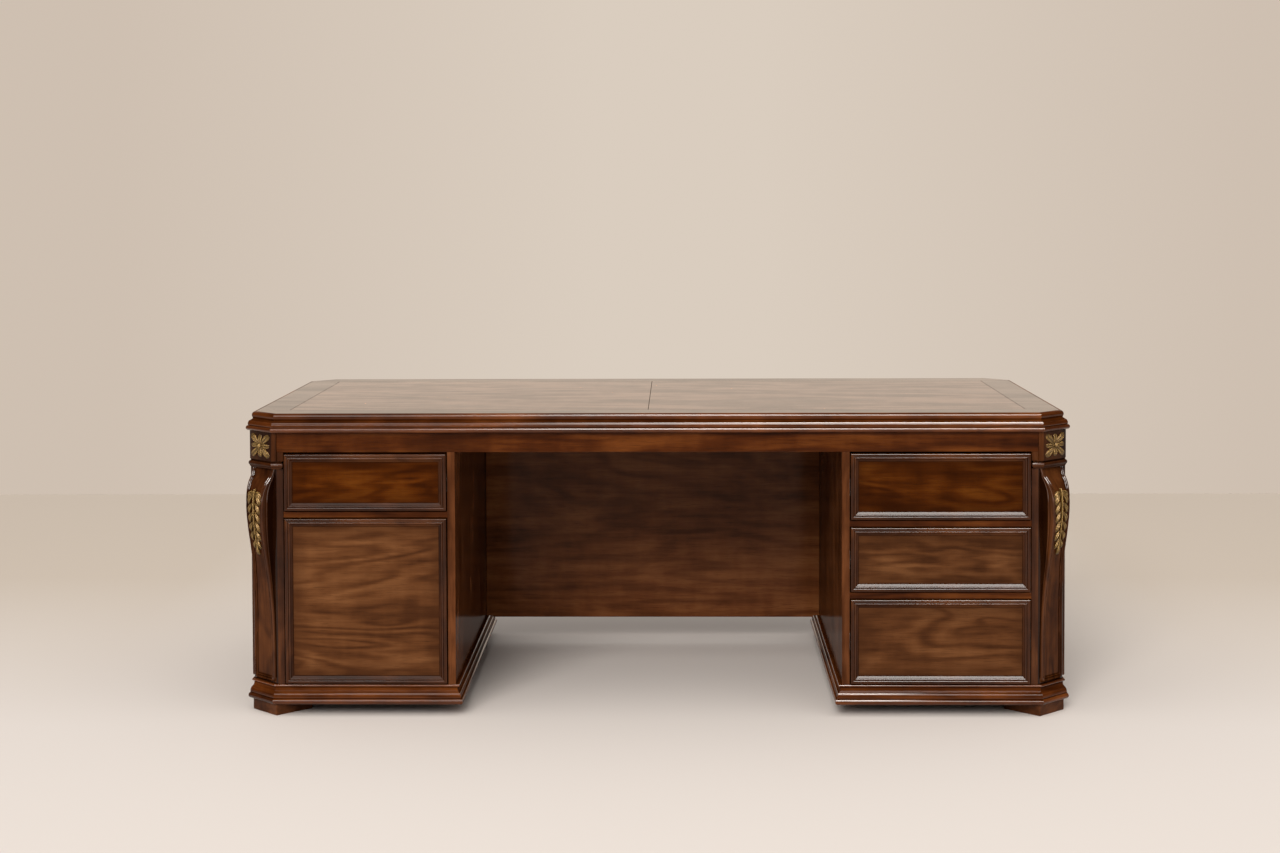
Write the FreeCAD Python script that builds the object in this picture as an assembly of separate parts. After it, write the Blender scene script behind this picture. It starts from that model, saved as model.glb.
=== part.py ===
import FreeCAD, Part
import math
import os

from FreeCAD import Vector

# A classical pedestal desk. X runs along the desk, -Y faces the sitter, +Z is up and the floor is Z = 0.
# All sizes are in millimetres.

# Overall size, over the lips of the top and base mouldings
WIDTH = 2080.0
DEPTH = 1000.0
HEIGHT = 760.0
CORNER_CUT = 76.0

# Heights of the layers, from the floor up
FOOT_HEIGHT = 30.0
BASE_HEIGHT = 49.0
APRON_HEIGHT = 49.5
TOP_HEIGHT = 47.0
BLOCK_HEIGHT = 72.0
NECK_GROOVE = 5.0
NECK_HEIGHT = 14.5

# Planes, measured inwards from the lips
FRAME_INSET = 14.0
TOP_MOULDING_DEPTH = 26.0
BASE_MOULDING_DEPTH = 54.0

# Corner posts and what is stacked on them
POST_CUT = 75.0
POST_RETURN = 17.0
BLOCK_PROUD = 4.0
BLOCK_CANT_PROUD = 11.3
NECK_PROUD = 7.5
NECK_CANT_PROUD = 14.8
NECK_TOP_ROUND = 3.0
NECK_BOTTOM_ROUND = 6.0

# Corbels on the canted faces: drop below the neck, how far the front stands out there, and half its width
CORBEL_CURVE = ((0, 5, 48), (22, 12, 45), (36, 21, 42), (55, 29, 38.5), (80, 32.6, 36.5), (106, 33.4, 35.5),
                (150, 30.5, 33.5), (200, 23.5, 32.5), (240, 17.5, 33.5), (285, 12.8, 37), (335, 9.2, 40.5),
                (387, 7, 43))
CORBEL_TOE_HALF = 45.0
CORBEL_TOE = 6.0
CORBEL_TOE_THICKNESS = 2.0
CORBEL_CLEARANCE = 3.0

# Carved leaf on each corbel, and rosette on each block
LEAF_DROP = 54.0
LEAF_LENGTH = 165.0
LEAF_WIDTH = 62.0
LEAF_THICKNESS = 4.0
LEAF_LOBES = 6
LEAF_TAPER_POWER = 0.35
LEAF_NOTCH_SHARE = 0.62
LEAF_LOBE_FULLNESS = 0.45
LEAF_LOBE_DROP = 0.62
ROSETTE_HALF_WIDTH = 39.0
ROSETTE_HALF_HEIGHT = 28.5
ROSETTE_PETAL_WIDTH = 17.0
ROSETTE_THICKNESS = 4.0
ROSETTE_BUTTON = 7.5
ROSETTE_BUTTON_RISE = 4.0

# Top
VENEER = 3.0
BORDER_WIDTH = 84.0
JOINT_LINE = 1.5
SEAM_X = -21.0
EDGE_OF_TOP = 24.0

# Carcass boards
KNEE_LEFT = -504.0
KNEE_RIGHT = 463.0
KNEE_LIP = 18.0
SIDE_BOARD = 19.0
OUTER_BOARD = 18.0
LINER = 18.0
BACK_BOARD = 18.0
APRON_BOARD = 22.0
BOTTOM_BOARD = 21.0
RAIL_HEIGHT = 15.0
RAIL_DEPTH = 60.0
MODESTY_FROM_BACK = 134.0
MODESTY_BOARD = 18.0
MODESTY_UNDER = 75.0
CLEAT = 30.0

# Feet
FOOT_PROUD = 5.7
FOOT_WIDTH = 103.0
FOOT_DEPTH = 110.0
INNER_FOOT = 80.0
INNER_FOOT_SETBACK = 140.0

# Drawer fronts and door
FRONT_GAP = 2.5
TOP_GAP = 4.5
FIELD_SETBACK = 1.0
FRONT_BOARD = 18.0
FRAME_WIDTH = 20.0
FRAME_HEIGHT = 9.0
LEFT_DOOR_SHARE = 0.7453
RIGHT_LOWER_SHARE = 0.3935
RIGHT_MIDDLE_SHARE = 0.2986
PANEL_FRAME_MARGIN = 3.0
MODESTY_FRAME_MARGIN = 60.0

# Drawer boxes and telescopic slides
BOX_BOARD = 12.0
BOX_BOTTOM = 6.0
BOX_BOTTOM_RISE = 10.0
BOX_LENGTH = 500.0
BOX_UNDER_FRONT = 14.0
BOX_BELOW_TOP = 22.0
SLIDE_WIDTH = 12.7
SLIDE_HEIGHT = 45.0
SLIDE_WALL = 1.2
SLIDE_PLAY = 0.4
SLIDE_START = 1.0
SLIDE_FLANGE = 9.0

# Door hinges and catch
PIVOT_IN = 38.0
PIVOT_BACK = 14.5
PIN_RADIUS = 2.5
PIN_LENGTH = 12.0
PIN_PLAY = 0.05
PLATE_LENGTH = 40.0
PLATE_WIDTH = 14.0
PLATE_FRONT = 5.0
PLATE_THICKNESS = 2.5
SLEEVE_WALL = 1.3
SLEEVE_LENGTH = 9.0
FIT = 0.3
CATCH_LENGTH = 40.0
CATCH_DEPTH = 14.0
CATCH_HEIGHT = 12.0
CATCH_FROM_EDGE = 20.0
STRIKE_THICKNESS = 1.5

# Brackets and screws that hold the top down
BRACKET_LEG = 40.0
BRACKET_WIDTH = 30.0
BRACKET_SHEET = 3.0
BRACKET_Y = 250.0
SCREW_RADIUS = 2.0
SCREW_HEAD = 4.0
SCREW_HEAD_HEIGHT = 2.0
SCREW_LENGTH = 15.0
SCREW_FROM_BEND = 25.0

# Levels and planes worked out from the sizes above
BASE_TOP = FOOT_HEIGHT + BASE_HEIGHT
TOP_UNDER = HEIGHT - TOP_HEIGHT
APRON_UNDER = TOP_UNDER - APRON_HEIGHT
BLOCK_UNDER = TOP_UNDER - BLOCK_HEIGHT
NECK_TOP = BLOCK_UNDER - NECK_GROOVE
POST_TOP = NECK_TOP - NECK_HEIGHT
CORE_TOP = HEIGHT - VENEER
LIP_X = WIDTH / 2
LIP_Y = DEPTH / 2
FRAME_X = LIP_X - FRAME_INSET
FRAME_Y = LIP_Y - FRAME_INSET
POST_SIZE = POST_CUT + POST_RETURN
LINER_X = FRAME_X - POST_SIZE
POST_BACK_Y = FRAME_Y - POST_SIZE
FIELD_Y = -FRAME_Y + FIELD_SETBACK
FRONT_BACK_Y = FIELD_Y + FRONT_BOARD
PROUD_Y = FIELD_Y - FRAME_HEIGHT
MODESTY_Y = LIP_Y - MODESTY_FROM_BACK
ROOT_2 = math.sqrt(2)

# Each pedestal: which way is outwards, and where its kneehole face stands
PEDESTALS = {"left": (-1, KNEE_LEFT), "right": (1, KNEE_RIGHT)}
# Turn that brings a piece made for the front left corner to each corner, and that corner's signs
CORNERS = ((0, -1, -1), (90, 1, -1), (180, 1, 1), (270, -1, 1))


def box(x_span, y_span, z_span):
    """A board between three pairs of planes."""
    low = Vector(min(x_span), min(y_span), min(z_span))
    high = Vector(max(x_span), max(y_span), max(z_span))
    size = high - low
    return Part.makeBox(size.x, size.y, size.z, low)


def prism(points, z_low, z_high):
    """An upright solid over a plan given by its corners."""
    corners = [Vector(x, y, z_low) for x, y in points]
    face = Part.Face(Part.makePolygon(corners + corners[:1]))
    return face.extrude(Vector(0, 0, z_high - z_low))


def outline(start, steps):
    """A flat face in the XZ plane. A step is an end point, or a point on an arc and its end point."""
    edges = []
    here = Vector(start[0], 0, start[1])
    for step in steps:
        if isinstance(step[0], tuple):
            middle, end = (Vector(x, 0, z) for x, z in step)
            edges.append(Part.Arc(here, middle, end).toShape())
        else:
            end = Vector(step[0], 0, step[1])
            edges.append(Part.LineSegment(here, end).toShape())
        here = end
    return Part.Face(Part.Wire(edges))


def octagon(inset):
    """Plan of the desk with its canted corners, set in from the lips by the same amount all round."""
    half_x = LIP_X - inset
    half_y = LIP_Y - inset
    cut = CORNER_CUT - inset * (2 - ROOT_2)
    cut_x = half_x - cut
    cut_y = half_y - cut
    return [(-cut_x, -half_y), (cut_x, -half_y), (half_x, -cut_y), (half_x, cut_y),
            (cut_x, half_y), (-cut_x, half_y), (-half_x, cut_y), (-half_x, -cut_y)]


def inner_plan(points, inset):
    """A convex plan, counter-clockwise, with every side moved inwards."""
    moved = []
    for index, corner in enumerate(points):
        before = points[index - 1]
        after = points[(index + 1) % len(points)]
        into = Vector(corner[0] - before[0], corner[1] - before[1], 0).normalize()
        out = Vector(after[0] - corner[0], after[1] - corner[1], 0).normalize()
        turn = into.x * out.y - into.y * out.x
        reach = inset / turn
        moved.append((corner[0] + (out.x - into.x) * reach, corner[1] + (out.y - into.y) * reach))
    return moved


def mitred_lengths(points, profile, depth, z_low, z_high):
    """One moulding for each side of a plan, with its ends mitred. The profile's x is 0 at the lip."""
    inner = inner_plan(points, depth)
    lengths = []
    for index, start in enumerate(points):
        after = (index + 1) % len(points)
        end = points[after]
        run = Vector(end[0] - start[0], end[1] - start[1], 0)
        stick = profile.copy()
        stick.translate(Vector(0, -depth, 0))
        stick = stick.extrude(Vector(0, run.Length + 2 * depth, 0))
        stick.rotate(Vector(0, 0, 0), Vector(0, 0, 1), math.degrees(math.atan2(-run.x, run.y)))
        stick.translate(Vector(start[0], start[1], 0))
        lengths.append(stick.common(prism([start, end, inner[after], inner[index]], z_low, z_high)))
    return lengths


def placed(shape, turn, x, y, z=0.0):
    """A copy of a shape, turned about the vertical and then moved."""
    copy = shape.copy()
    copy.rotate(Vector(0, 0, 0), Vector(0, 0, 1), turn)
    copy.translate(Vector(x, y, z))
    return copy


def at_corners(shape):
    """Four copies of a piece made for the front left corner, whose frame corner is the origin there."""
    return [placed(shape, turn, side * FRAME_X, end * FRAME_Y) for turn, side, end in CORNERS]


def on_cant(shape, proud):
    """A piece that faces -Y, carried to the canted face of the front left corner."""
    middle = POST_CUT / 2 - proud / ROOT_2
    return placed(shape, -45, middle, middle)


def corner_plan(proud, cant_proud, size):
    """Plan of a corner piece: two straight returns, and the canted face between them."""
    cant = POST_CUT - cant_proud * ROOT_2
    return [(size, -proud), (size, size), (-proud, size), (-proud, cant + proud), (cant + proud, -proud)]


def joined(solids):
    return Part.makeCompound(solids)


def top_edge_profile():
    """Bead, waist, flare and torus of the top's edge, from the top face down."""
    edge = -EDGE_OF_TOP
    under = -TOP_HEIGHT
    bead = ((edge + 10, -7), (edge + 8, -14))
    waist = (edge + 7, -16)
    flare = ((edge + 9.5, -20.5), (edge + 15.5, -22.5))
    band = ((edge + 18.4, -27), (edge + 19, -33))
    quirk = (edge + 17.5, -34.5)
    torus = ((0, under + 6), (-5, under))
    return outline((-TOP_MOULDING_DEPTH, 0), [
        (edge, 0), bead, waist, flare, band, quirk, torus,
        (-TOP_MOULDING_DEPTH, under), (-TOP_MOULDING_DEPTH, 0)])


def base_profile():
    """Small bead, notch, flare and torus of the base, from its top down."""
    under = -BASE_HEIGHT
    bead = ((-9.3, -3), (-12, -6))
    notch = (-14, -7)
    flare = ((-12.5, -17), (-7.5, -22))
    band = ((-5.4, -27), (-5, -33))
    quirk = (-6.5, -35)
    torus = ((0, under + 7), (-5, under))
    return outline((-BASE_MOULDING_DEPTH, 0), [
        (-12, 0), bead, notch, flare, band, quirk, torus,
        (-BASE_MOULDING_DEPTH, under), (-BASE_MOULDING_DEPTH, 0)])


def frame_profile():
    """Picture-frame moulding of a front: rounded outer bead, quirk, inner bead and a slope to the field."""
    top = FRAME_HEIGHT
    inner = -FRAME_WIDTH
    outer_round = ((-0.9, top - 0.9), (-3, top))
    quirk = ((-7.5, top - 0.8), (-8.5, top - 3))
    inner_bead = ((-11, top - 1.4), (-13.5, top - 3))
    slope = ((inner + 3, 2.8), (inner, 1.5))
    return outline((0, 0), [
        (0, top - 3), outer_round, (-5, top), quirk, inner_bead, slope, (inner, 0), (0, 0)])


def picture_frame(width, height):
    """Four mitred lengths round a rectangle, lying flat and centred, with the profile's face up."""
    half_x = width / 2
    half_y = height / 2
    plan = [(-half_x, -half_y), (half_x, -half_y), (half_x, half_y), (-half_x, half_y)]
    return joined(mitred_lengths(plan, frame_profile(), FRAME_WIDTH, 0, FRAME_HEIGHT))


def framed_on(width, height, turn, middle):
    """A picture frame stood upright. A turn of 0 faces the sitter, and middle is on the face behind it."""
    frame = picture_frame(width, height)
    frame.rotate(Vector(0, 0, 0), Vector(1, 0, 0), 90)
    return placed(frame, turn, *middle)


def top_pieces():
    lip = octagon(0)
    plan = inner_plan(lip, TOP_MOULDING_DEPTH)
    profile = top_edge_profile()
    profile.translate(Vector(0, 0, HEIGHT))
    core = prism(plan, TOP_UNDER, CORE_TOP)
    for bracket in bracket_places():
        core = core.cut(bracket_screw_hole(bracket, True))
    sheet = prism(plan, CORE_TOP, HEIGHT)
    field_x = LIP_X - EDGE_OF_TOP - BORDER_WIDTH
    field_y = LIP_Y - EDGE_OF_TOP - BORDER_WIDTH
    band_y = field_y + JOINT_LINE
    layer = (CORE_TOP, HEIGHT)
    bands = [sheet.common(box((-LIP_X, LIP_X), (end * band_y, end * LIP_Y), layer)) for end in (-1, 1)]
    end_bands = [box((side * (field_x + JOINT_LINE), side * (LIP_X - TOP_MOULDING_DEPTH)),
                     (-field_y, field_y), layer) for side in (-1, 1)]
    half_joint = JOINT_LINE / 2
    return {
        "top_core": core,
        "top_edge_moulding": joined(mitred_lengths(lip, profile, TOP_MOULDING_DEPTH, TOP_UNDER, HEIGHT)),
        "top_border_bands": joined(bands + end_bands),
        "top_field_left": box((-field_x, SEAM_X - half_joint), (-field_y, field_y), layer),
        "top_field_right": box((SEAM_X + half_joint, field_x), (-field_y, field_y), layer),
    }


def aprons():
    layer = (APRON_UNDER, TOP_UNDER)
    long_x = FRAME_X - POST_CUT
    long_y = FRAME_Y - POST_CUT
    across = [box((-long_x, long_x), (end * (FRAME_Y - APRON_BOARD), end * FRAME_Y), layer)
              for end in (-1, 1)]
    along = [box((side * (FRAME_X - APRON_BOARD), side * FRAME_X), (-long_y, long_y), layer)
             for side in (-1, 1)]
    return {"front_apron": across[0], "back_apron": across[1], "side_aprons": joined(along)}


def rounded_at(slab, level, radius):
    """A corner slab with the shown edges at one level rounded over."""
    shown = []
    for edge in slab.Edges:
        middle = edge.BoundBox.Center
        at_level = edge.BoundBox.ZLength < FIT and abs(middle.z - level) < FIT
        outside = max(middle.x, middle.y) < POST_SIZE - FIT and min(middle.x, middle.y) < POST_CUT
        if at_level and outside:
            shown.append(edge)
    return slab.makeFillet(radius, shown)


def neck():
    """Moulding round the head of a post, with a plain groove above it."""
    slab = prism(corner_plan(NECK_PROUD, NECK_CANT_PROUD, POST_SIZE), POST_TOP, NECK_TOP)
    slab = rounded_at(slab, NECK_TOP, NECK_TOP_ROUND)
    slab = rounded_at(slab, POST_TOP, NECK_BOTTOM_ROUND)
    return slab.fuse(prism(corner_plan(0, 0, POST_SIZE), NECK_TOP, BLOCK_UNDER)).removeSplitter()


def rosette_block():
    """Square block, with a set-back return that carries the stile up to the apron."""
    block = prism(corner_plan(BLOCK_PROUD, BLOCK_CANT_PROUD, POST_CUT), BLOCK_UNDER, TOP_UNDER)
    stile = prism(corner_plan(0, 0, POST_SIZE), BLOCK_UNDER, APRON_UNDER)
    return block.fuse(stile).removeSplitter()


def petal(length):
    """A pointed oval of two arcs, upright from the rosette's centre, of the rosette's thickness."""
    half = ROSETTE_PETAL_WIDTH / 2
    face = outline((0, 0), [((half, length / 2), (0, length)), ((-half, length / 2), (0, 0))])
    return face.extrude(Vector(0, -ROSETTE_THICKNESS, 0))


def rosette():
    """Eight petals that reach the corners and the side middles of an oblong, and a domed button."""
    flower = None
    for across, up in ((0, 1), (1, 1), (1, 0), (1, -1), (0, -1), (-1, -1), (-1, 0), (-1, 1)):
        end_x = across * ROSETTE_HALF_WIDTH
        end_z = up * ROSETTE_HALF_HEIGHT
        leaf = petal(math.hypot(end_x, end_z))
        leaf.rotate(Vector(0, 0, 0), Vector(0, 1, 0), math.degrees(math.atan2(end_x, end_z)))
        flower = leaf if flower is None else flower.fuse(leaf)
    ball = (ROSETTE_BUTTON ** 2 + ROSETTE_BUTTON_RISE ** 2) / (2 * ROSETTE_BUTTON_RISE)
    depth = ROSETTE_THICKNESS + ROSETTE_BUTTON_RISE
    button = Part.makeSphere(ball, Vector(0, ball - depth, 0))
    button = button.common(Part.makeCylinder(ROSETTE_BUTTON, depth, Vector(0, 0, 0), Vector(0, -1, 0)))
    flower = flower.fuse(button).removeSplitter()
    flower.translate(Vector(0, 0, BLOCK_UNDER + BLOCK_HEIGHT / 2))
    return flower


def smooth_line(points):
    """One smooth curve through points, with its two ends."""
    curve = Part.BSplineCurve()
    curve.interpolate(points)
    return curve.toShape(), points[0], points[-1]


def corbel_front(proud):
    """Front line of a corbel as one smooth curve, from the neck down to its toe."""
    bottom = BASE_TOP + CORBEL_CLEARANCE
    toe = CORBEL_CURVE[-1][1]
    points = [Vector(0, -(out + proud), POST_TOP - drop) for drop, out, half in CORBEL_CURVE]
    points.append(Vector(0, -(toe + proud), bottom + CORBEL_TOE))
    points.append(Vector(0, -(CORBEL_TOE_THICKNESS + proud), bottom))
    return smooth_line(points)


def corbel_edge(hand):
    """Left or right edge of a corbel, seen from its front."""
    points = [Vector(hand * half, 0, POST_TOP - drop) for drop, out, half in CORBEL_CURVE]
    points.append(Vector(hand * CORBEL_TOE_HALF, 0, BASE_TOP + CORBEL_CLEARANCE))
    return smooth_line(points)


def between_curves(back, front):
    """A face between two smooth lines, closed with straight ends."""
    back_edge, back_top, back_bottom = back
    front_edge, front_top, front_bottom = front
    ends = [Part.makeLine(back_top, front_top), Part.makeLine(back_bottom, front_bottom)]
    return Part.Face(Part.Wire(Part.__sortEdges__([back_edge, front_edge] + ends)))


def corbel():
    """An S-shaped bracket with a waist, wide at its head and its toe."""
    bottom = BASE_TOP + CORBEL_CLEARANCE
    top_point = Vector(0, 0, POST_TOP)
    bottom_point = Vector(0, 0, bottom)
    back = (Part.makeLine(top_point, bottom_point), top_point, bottom_point)
    body = between_curves(back, corbel_front(0)).extrude(Vector(2 * POST_CUT, 0, 0))
    body.translate(Vector(-POST_CUT, 0, 0))
    waist = between_curves(corbel_edge(-1), corbel_edge(1))
    return body.common(waist.extrude(Vector(0, -POST_SIZE, 0)))


def leaf_plan():
    """Acanthus outline: pairs of rounded lobes down both sides, shrinking to a pointed tip."""
    top = POST_TOP - LEAF_DROP
    step = LEAF_LENGTH / (LEAF_LOBES + 1)
    half = LEAF_WIDTH / 2

    def reach(index):
        return half * (1 - index / (LEAF_LOBES + 1)) ** LEAF_TAPER_POWER

    notches = [(LEAF_NOTCH_SHARE * reach(index), top - step * index) for index in range(LEAF_LOBES + 1)]
    lobes = [(reach(index + LEAF_LOBE_FULLNESS), top - step * (index + LEAF_LOBE_DROP))
             for index in range(LEAF_LOBES)]
    tip = (0, top - LEAF_LENGTH)
    steps = []
    for index in range(LEAF_LOBES):
        steps.append((lobes[index], notches[index + 1]))
    steps.append(tip)
    steps.append((-notches[-1][0], notches[-1][1]))
    for index in reversed(range(LEAF_LOBES)):
        lobe_x, lobe_z = lobes[index]
        steps.append(((-lobe_x, lobe_z), (-notches[index][0], notches[index][1])))
    steps.append(notches[0])
    return outline(notches[0], steps)


def acanthus_leaf():
    """The leaf lies on the corbel's front and follows its curve."""
    sheet = between_curves(corbel_front(0), corbel_front(LEAF_THICKNESS))
    sheet = sheet.extrude(Vector(LEAF_WIDTH, 0, 0))
    sheet.translate(Vector(-LEAF_WIDTH / 2, 0, 0))
    return sheet.common(leaf_plan().extrude(Vector(0, -POST_SIZE, 0)))


def corner_pieces():
    post = prism(corner_plan(0, 0, POST_SIZE), BASE_TOP, POST_TOP)
    return {
        "corner_posts": joined(at_corners(post)),
        "neck_mouldings": joined(at_corners(neck())),
        "rosette_blocks": joined(at_corners(rosette_block())),
        "rosettes": joined(at_corners(on_cant(rosette(), BLOCK_CANT_PROUD))),
        "corbels": joined(at_corners(on_cant(corbel(), 0))),
        "acanthus_leaves": joined(at_corners(on_cant(acanthus_leaf(), 0))),
        "corner_feet": joined(at_corners(on_cant(corner_foot(), FOOT_PROUD))),
    }


def corner_foot():
    half = FOOT_WIDTH / 2
    return box((-half, half), (0, FOOT_DEPTH), (0, FOOT_HEIGHT))


def opening(side):
    """Clear span in X between the boards of a pedestal, where its drawers and door fit."""
    outwards, knee = PEDESTALS[side]
    return sorted((outwards * LINER_X, knee + outwards * SIDE_BOARD))


def base_plan(side):
    """Lip of a pedestal's base moulding, counter-clockwise: canted at the outer corners only."""
    outwards, knee = PEDESTALS[side]
    inner_x = knee - outwards * KNEE_LIP
    canted = octagon(0)
    if outwards < 0:
        return [(inner_x, LIP_Y), canted[5], canted[6], canted[7], canted[0], (inner_x, -LIP_Y)]
    return [(inner_x, -LIP_Y), canted[1], canted[2], canted[3], canted[4], (inner_x, LIP_Y)]


def kneehole_side(side):
    """Plain board beside the kneehole, notched at the top for the front and back aprons."""
    outwards, knee = PEDESTALS[side]
    x_span = (knee, knee + outwards * SIDE_BOARD)
    low = box(x_span, (-FRAME_Y, FRAME_Y), (BASE_TOP, APRON_UNDER))
    inner_y = FRAME_Y - APRON_BOARD
    board = low.fuse(box(x_span, (-inner_y, inner_y), (APRON_UNDER, TOP_UNDER))).removeSplitter()
    for bracket in bracket_places():
        board = board.cut(bracket_screw_hole(bracket, False))
    return board


def base_moulding(side):
    profile = base_profile()
    profile.translate(Vector(0, 0, BASE_TOP))
    return mitred_lengths(base_plan(side), profile, BASE_MOULDING_DEPTH, FOOT_HEIGHT, BASE_TOP)


def pedestals():
    nodes = {}
    liners = []
    backs = []
    bottoms = []
    inner_feet = []
    for side, (outwards, knee) in PEDESTALS.items():
        span = opening(side)
        nodes[side + "_outer_side"] = box((outwards * FRAME_X, outwards * (FRAME_X - OUTER_BOARD)),
                                          (-POST_BACK_Y, POST_BACK_Y), (BASE_TOP, APRON_UNDER))
        nodes[side + "_inner_side"] = kneehole_side(side)
        nodes[side + "_base_moulding"] = base_moulding(side)
        liner = box((outwards * LINER_X, outwards * (LINER_X + LINER)), (-POST_BACK_Y, POST_BACK_Y),
                    (BASE_TOP, TOP_UNDER))
        for bracket in bracket_places():
            liner = liner.cut(bracket_screw_hole(bracket, False))
        liners.append(liner)
        backs.append(box(span, (FRAME_Y - BACK_BOARD, FRAME_Y), (BASE_TOP, APRON_UNDER)))
        bottom_plan = inner_plan(base_plan(side), BASE_MOULDING_DEPTH)
        bottoms.append(prism(bottom_plan, BASE_TOP - BOTTOM_BOARD, BASE_TOP))
        foot_x = knee - outwards * KNEE_LIP + outwards * BASE_MOULDING_DEPTH
        for end in (-1, 1):
            foot_y = end * (LIP_Y - INNER_FOOT_SETBACK)
            inner_feet.append(box((foot_x - outwards * INNER_FOOT / 2, foot_x + outwards * INNER_FOOT / 2),
                                  (foot_y, foot_y - end * INNER_FOOT), (0, FOOT_HEIGHT)))
    lower = nodes["left_base_moulding"]
    nodes["left_base_moulding"] = joined([piece.cut(hinge_recess(BASE_TOP, -1)) for piece in lower])
    nodes["right_base_moulding"] = joined(nodes["right_base_moulding"])
    nodes["pedestal_liners"] = joined(liners)
    nodes["pedestal_backs"] = joined(backs)
    nodes["pedestal_bottoms"] = joined(bottoms)
    nodes["inner_feet"] = joined(inner_feet)
    return nodes


def stacked(side, names, shares):
    """Places of a pedestal's fronts, which share the height between base and apron that the rails leave."""
    fronts = {}
    low = BASE_TOP + FRONT_GAP
    between = RAIL_HEIGHT + 2 * FRONT_GAP
    shared = APRON_UNDER - TOP_GAP - low - between * len(shares)
    for name, share in zip(names, shares):
        fronts[name] = (side, low, low + share * shared)
        low += share * shared + between
    fronts[names[-1]] = (side, low, APRON_UNDER - TOP_GAP)
    return fronts


# Fronts, bottom to top: the pedestal, the lowest level and the highest level of each
FRONTS = stacked("left", ("door", "left_drawer"), (LEFT_DOOR_SHARE,))
FRONTS.update(stacked("right", ("right_lower_drawer", "right_middle_drawer", "right_upper_drawer"),
                      (RIGHT_LOWER_SHARE, RIGHT_MIDDLE_SHARE)))
DRAWERS = [name for name in FRONTS if name != "door"]


def rail_above(name):
    """Levels of the rail over a front."""
    low = FRONTS[name][2] + FRONT_GAP
    return low, low + RAIL_HEIGHT


def rails():
    left = opening("left")
    right = opening("right")
    level = rail_above("door")
    divider = box(left, (-FRAME_Y, FRAME_Y - BACK_BOARD), level).cut(hinge_recess(level[0], 1))
    front_rails = [box(right, (-FRAME_Y, -FRAME_Y + RAIL_DEPTH), rail_above(name))
                   for name in ("right_lower_drawer", "right_middle_drawer")]
    return {"left_divider": divider, "right_drawer_rails": joined(front_rails)}


def front_span(name):
    """Left and right edges of a front inside its opening."""
    low, high = opening(FRONTS[name][0])
    return low + FRONT_GAP, high - FRONT_GAP


def front_board(name):
    side, low, high = FRONTS[name]
    return box(front_span(name), (FIELD_Y, FRONT_BACK_Y), (low, high))


def front_frame(name):
    side, low, high = FRONTS[name]
    left, right = front_span(name)
    return framed_on(right - left, high - low, 0, ((left + right) / 2, FIELD_Y, (low + high) / 2))


def panel_frames():
    """Matching frames on the outer sides, on the pedestal backs and on the back of the modesty panel."""
    low = BASE_TOP + PANEL_FRAME_MARGIN
    high = APRON_UNDER - TOP_GAP
    height = high - low
    level = (low + high) / 2
    frames = []
    for side, (outwards, knee) in PEDESTALS.items():
        frames.append(framed_on(2 * (POST_BACK_Y - PANEL_FRAME_MARGIN), height, outwards * 90,
                                (outwards * FRAME_X, 0, level)))
        left, right = opening(side)
        frames.append(framed_on(right - left - 2 * PANEL_FRAME_MARGIN, height, 180,
                                ((left + right) / 2, FRAME_Y, level)))
    knee_width = KNEE_RIGHT - KNEE_LEFT - 2 * MODESTY_FRAME_MARGIN
    knee_height = APRON_UNDER - MODESTY_UNDER - 2 * MODESTY_FRAME_MARGIN
    knee_middle = ((KNEE_LEFT + KNEE_RIGHT) / 2, MODESTY_Y + MODESTY_BOARD, (MODESTY_UNDER + APRON_UNDER) / 2)
    frames.append(framed_on(knee_width, knee_height, 180, knee_middle))
    return {"panel_frames": joined(frames)}


def modesty():
    """Panel across the kneehole, held by a cleat along each pedestal."""
    back_y = MODESTY_Y + MODESTY_BOARD
    panel = box((KNEE_LEFT, KNEE_RIGHT), (MODESTY_Y, back_y), (MODESTY_UNDER, TOP_UNDER))
    cleats = [box((knee, knee - outwards * CLEAT), (back_y, back_y + CLEAT), (BASE_TOP, TOP_UNDER))
              for outwards, knee in PEDESTALS.values()]
    for outwards, knee in PEDESTALS.values():
        lip_span = (knee, knee - outwards * KNEE_LIP)
        panel = panel.cut(box(lip_span, (MODESTY_Y, back_y), (MODESTY_UNDER, BASE_TOP)))
    return {"modesty_panel": panel, "modesty_cleats": joined(cleats)}


def channel(x_web, toward, height, reach, y_span, level):
    """A sheet channel: a web against x_web and two flanges that point the way toward says."""
    half = height / 2
    web = box((x_web, x_web + toward * SLIDE_WALL), y_span, (level - half, level + half))
    for end in (-1, 1):
        web = web.fuse(box((x_web, x_web + toward * reach), y_span,
                           (level + end * half, level + end * (half - SLIDE_WALL))))
    return web.removeSplitter()


def slide_members(name):
    """The fixed, middle and running members of a drawer's two slides, nested with a little play."""
    side, low, high = FRONTS[name]
    left, right = opening(side)
    level = sum(box_levels(name)) / 2
    y_span = (FRONT_BACK_Y + SLIDE_START, FRONT_BACK_Y + BOX_LENGTH - SLIDE_START)
    nest = SLIDE_WALL + SLIDE_PLAY
    fixed = []
    middle = []
    running = []
    for wall, toward in ((left, 1), (right, -1)):
        nested = wall + toward * nest
        box_face = wall + toward * SLIDE_WIDTH
        fixed.append(channel(wall, toward, SLIDE_HEIGHT, SLIDE_FLANGE, y_span, level))
        middle.append(channel(nested, toward, SLIDE_HEIGHT - 2 * nest, SLIDE_FLANGE, y_span, level))
        running.append(channel(box_face, -toward, SLIDE_HEIGHT - 4 * nest, SLIDE_FLANGE, y_span, level))
    return fixed, middle, running


def box_levels(name):
    """Bottom and top of a drawer's box."""
    side, low, high = FRONTS[name]
    return low + BOX_UNDER_FRONT, high - BOX_BELOW_TOP


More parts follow.
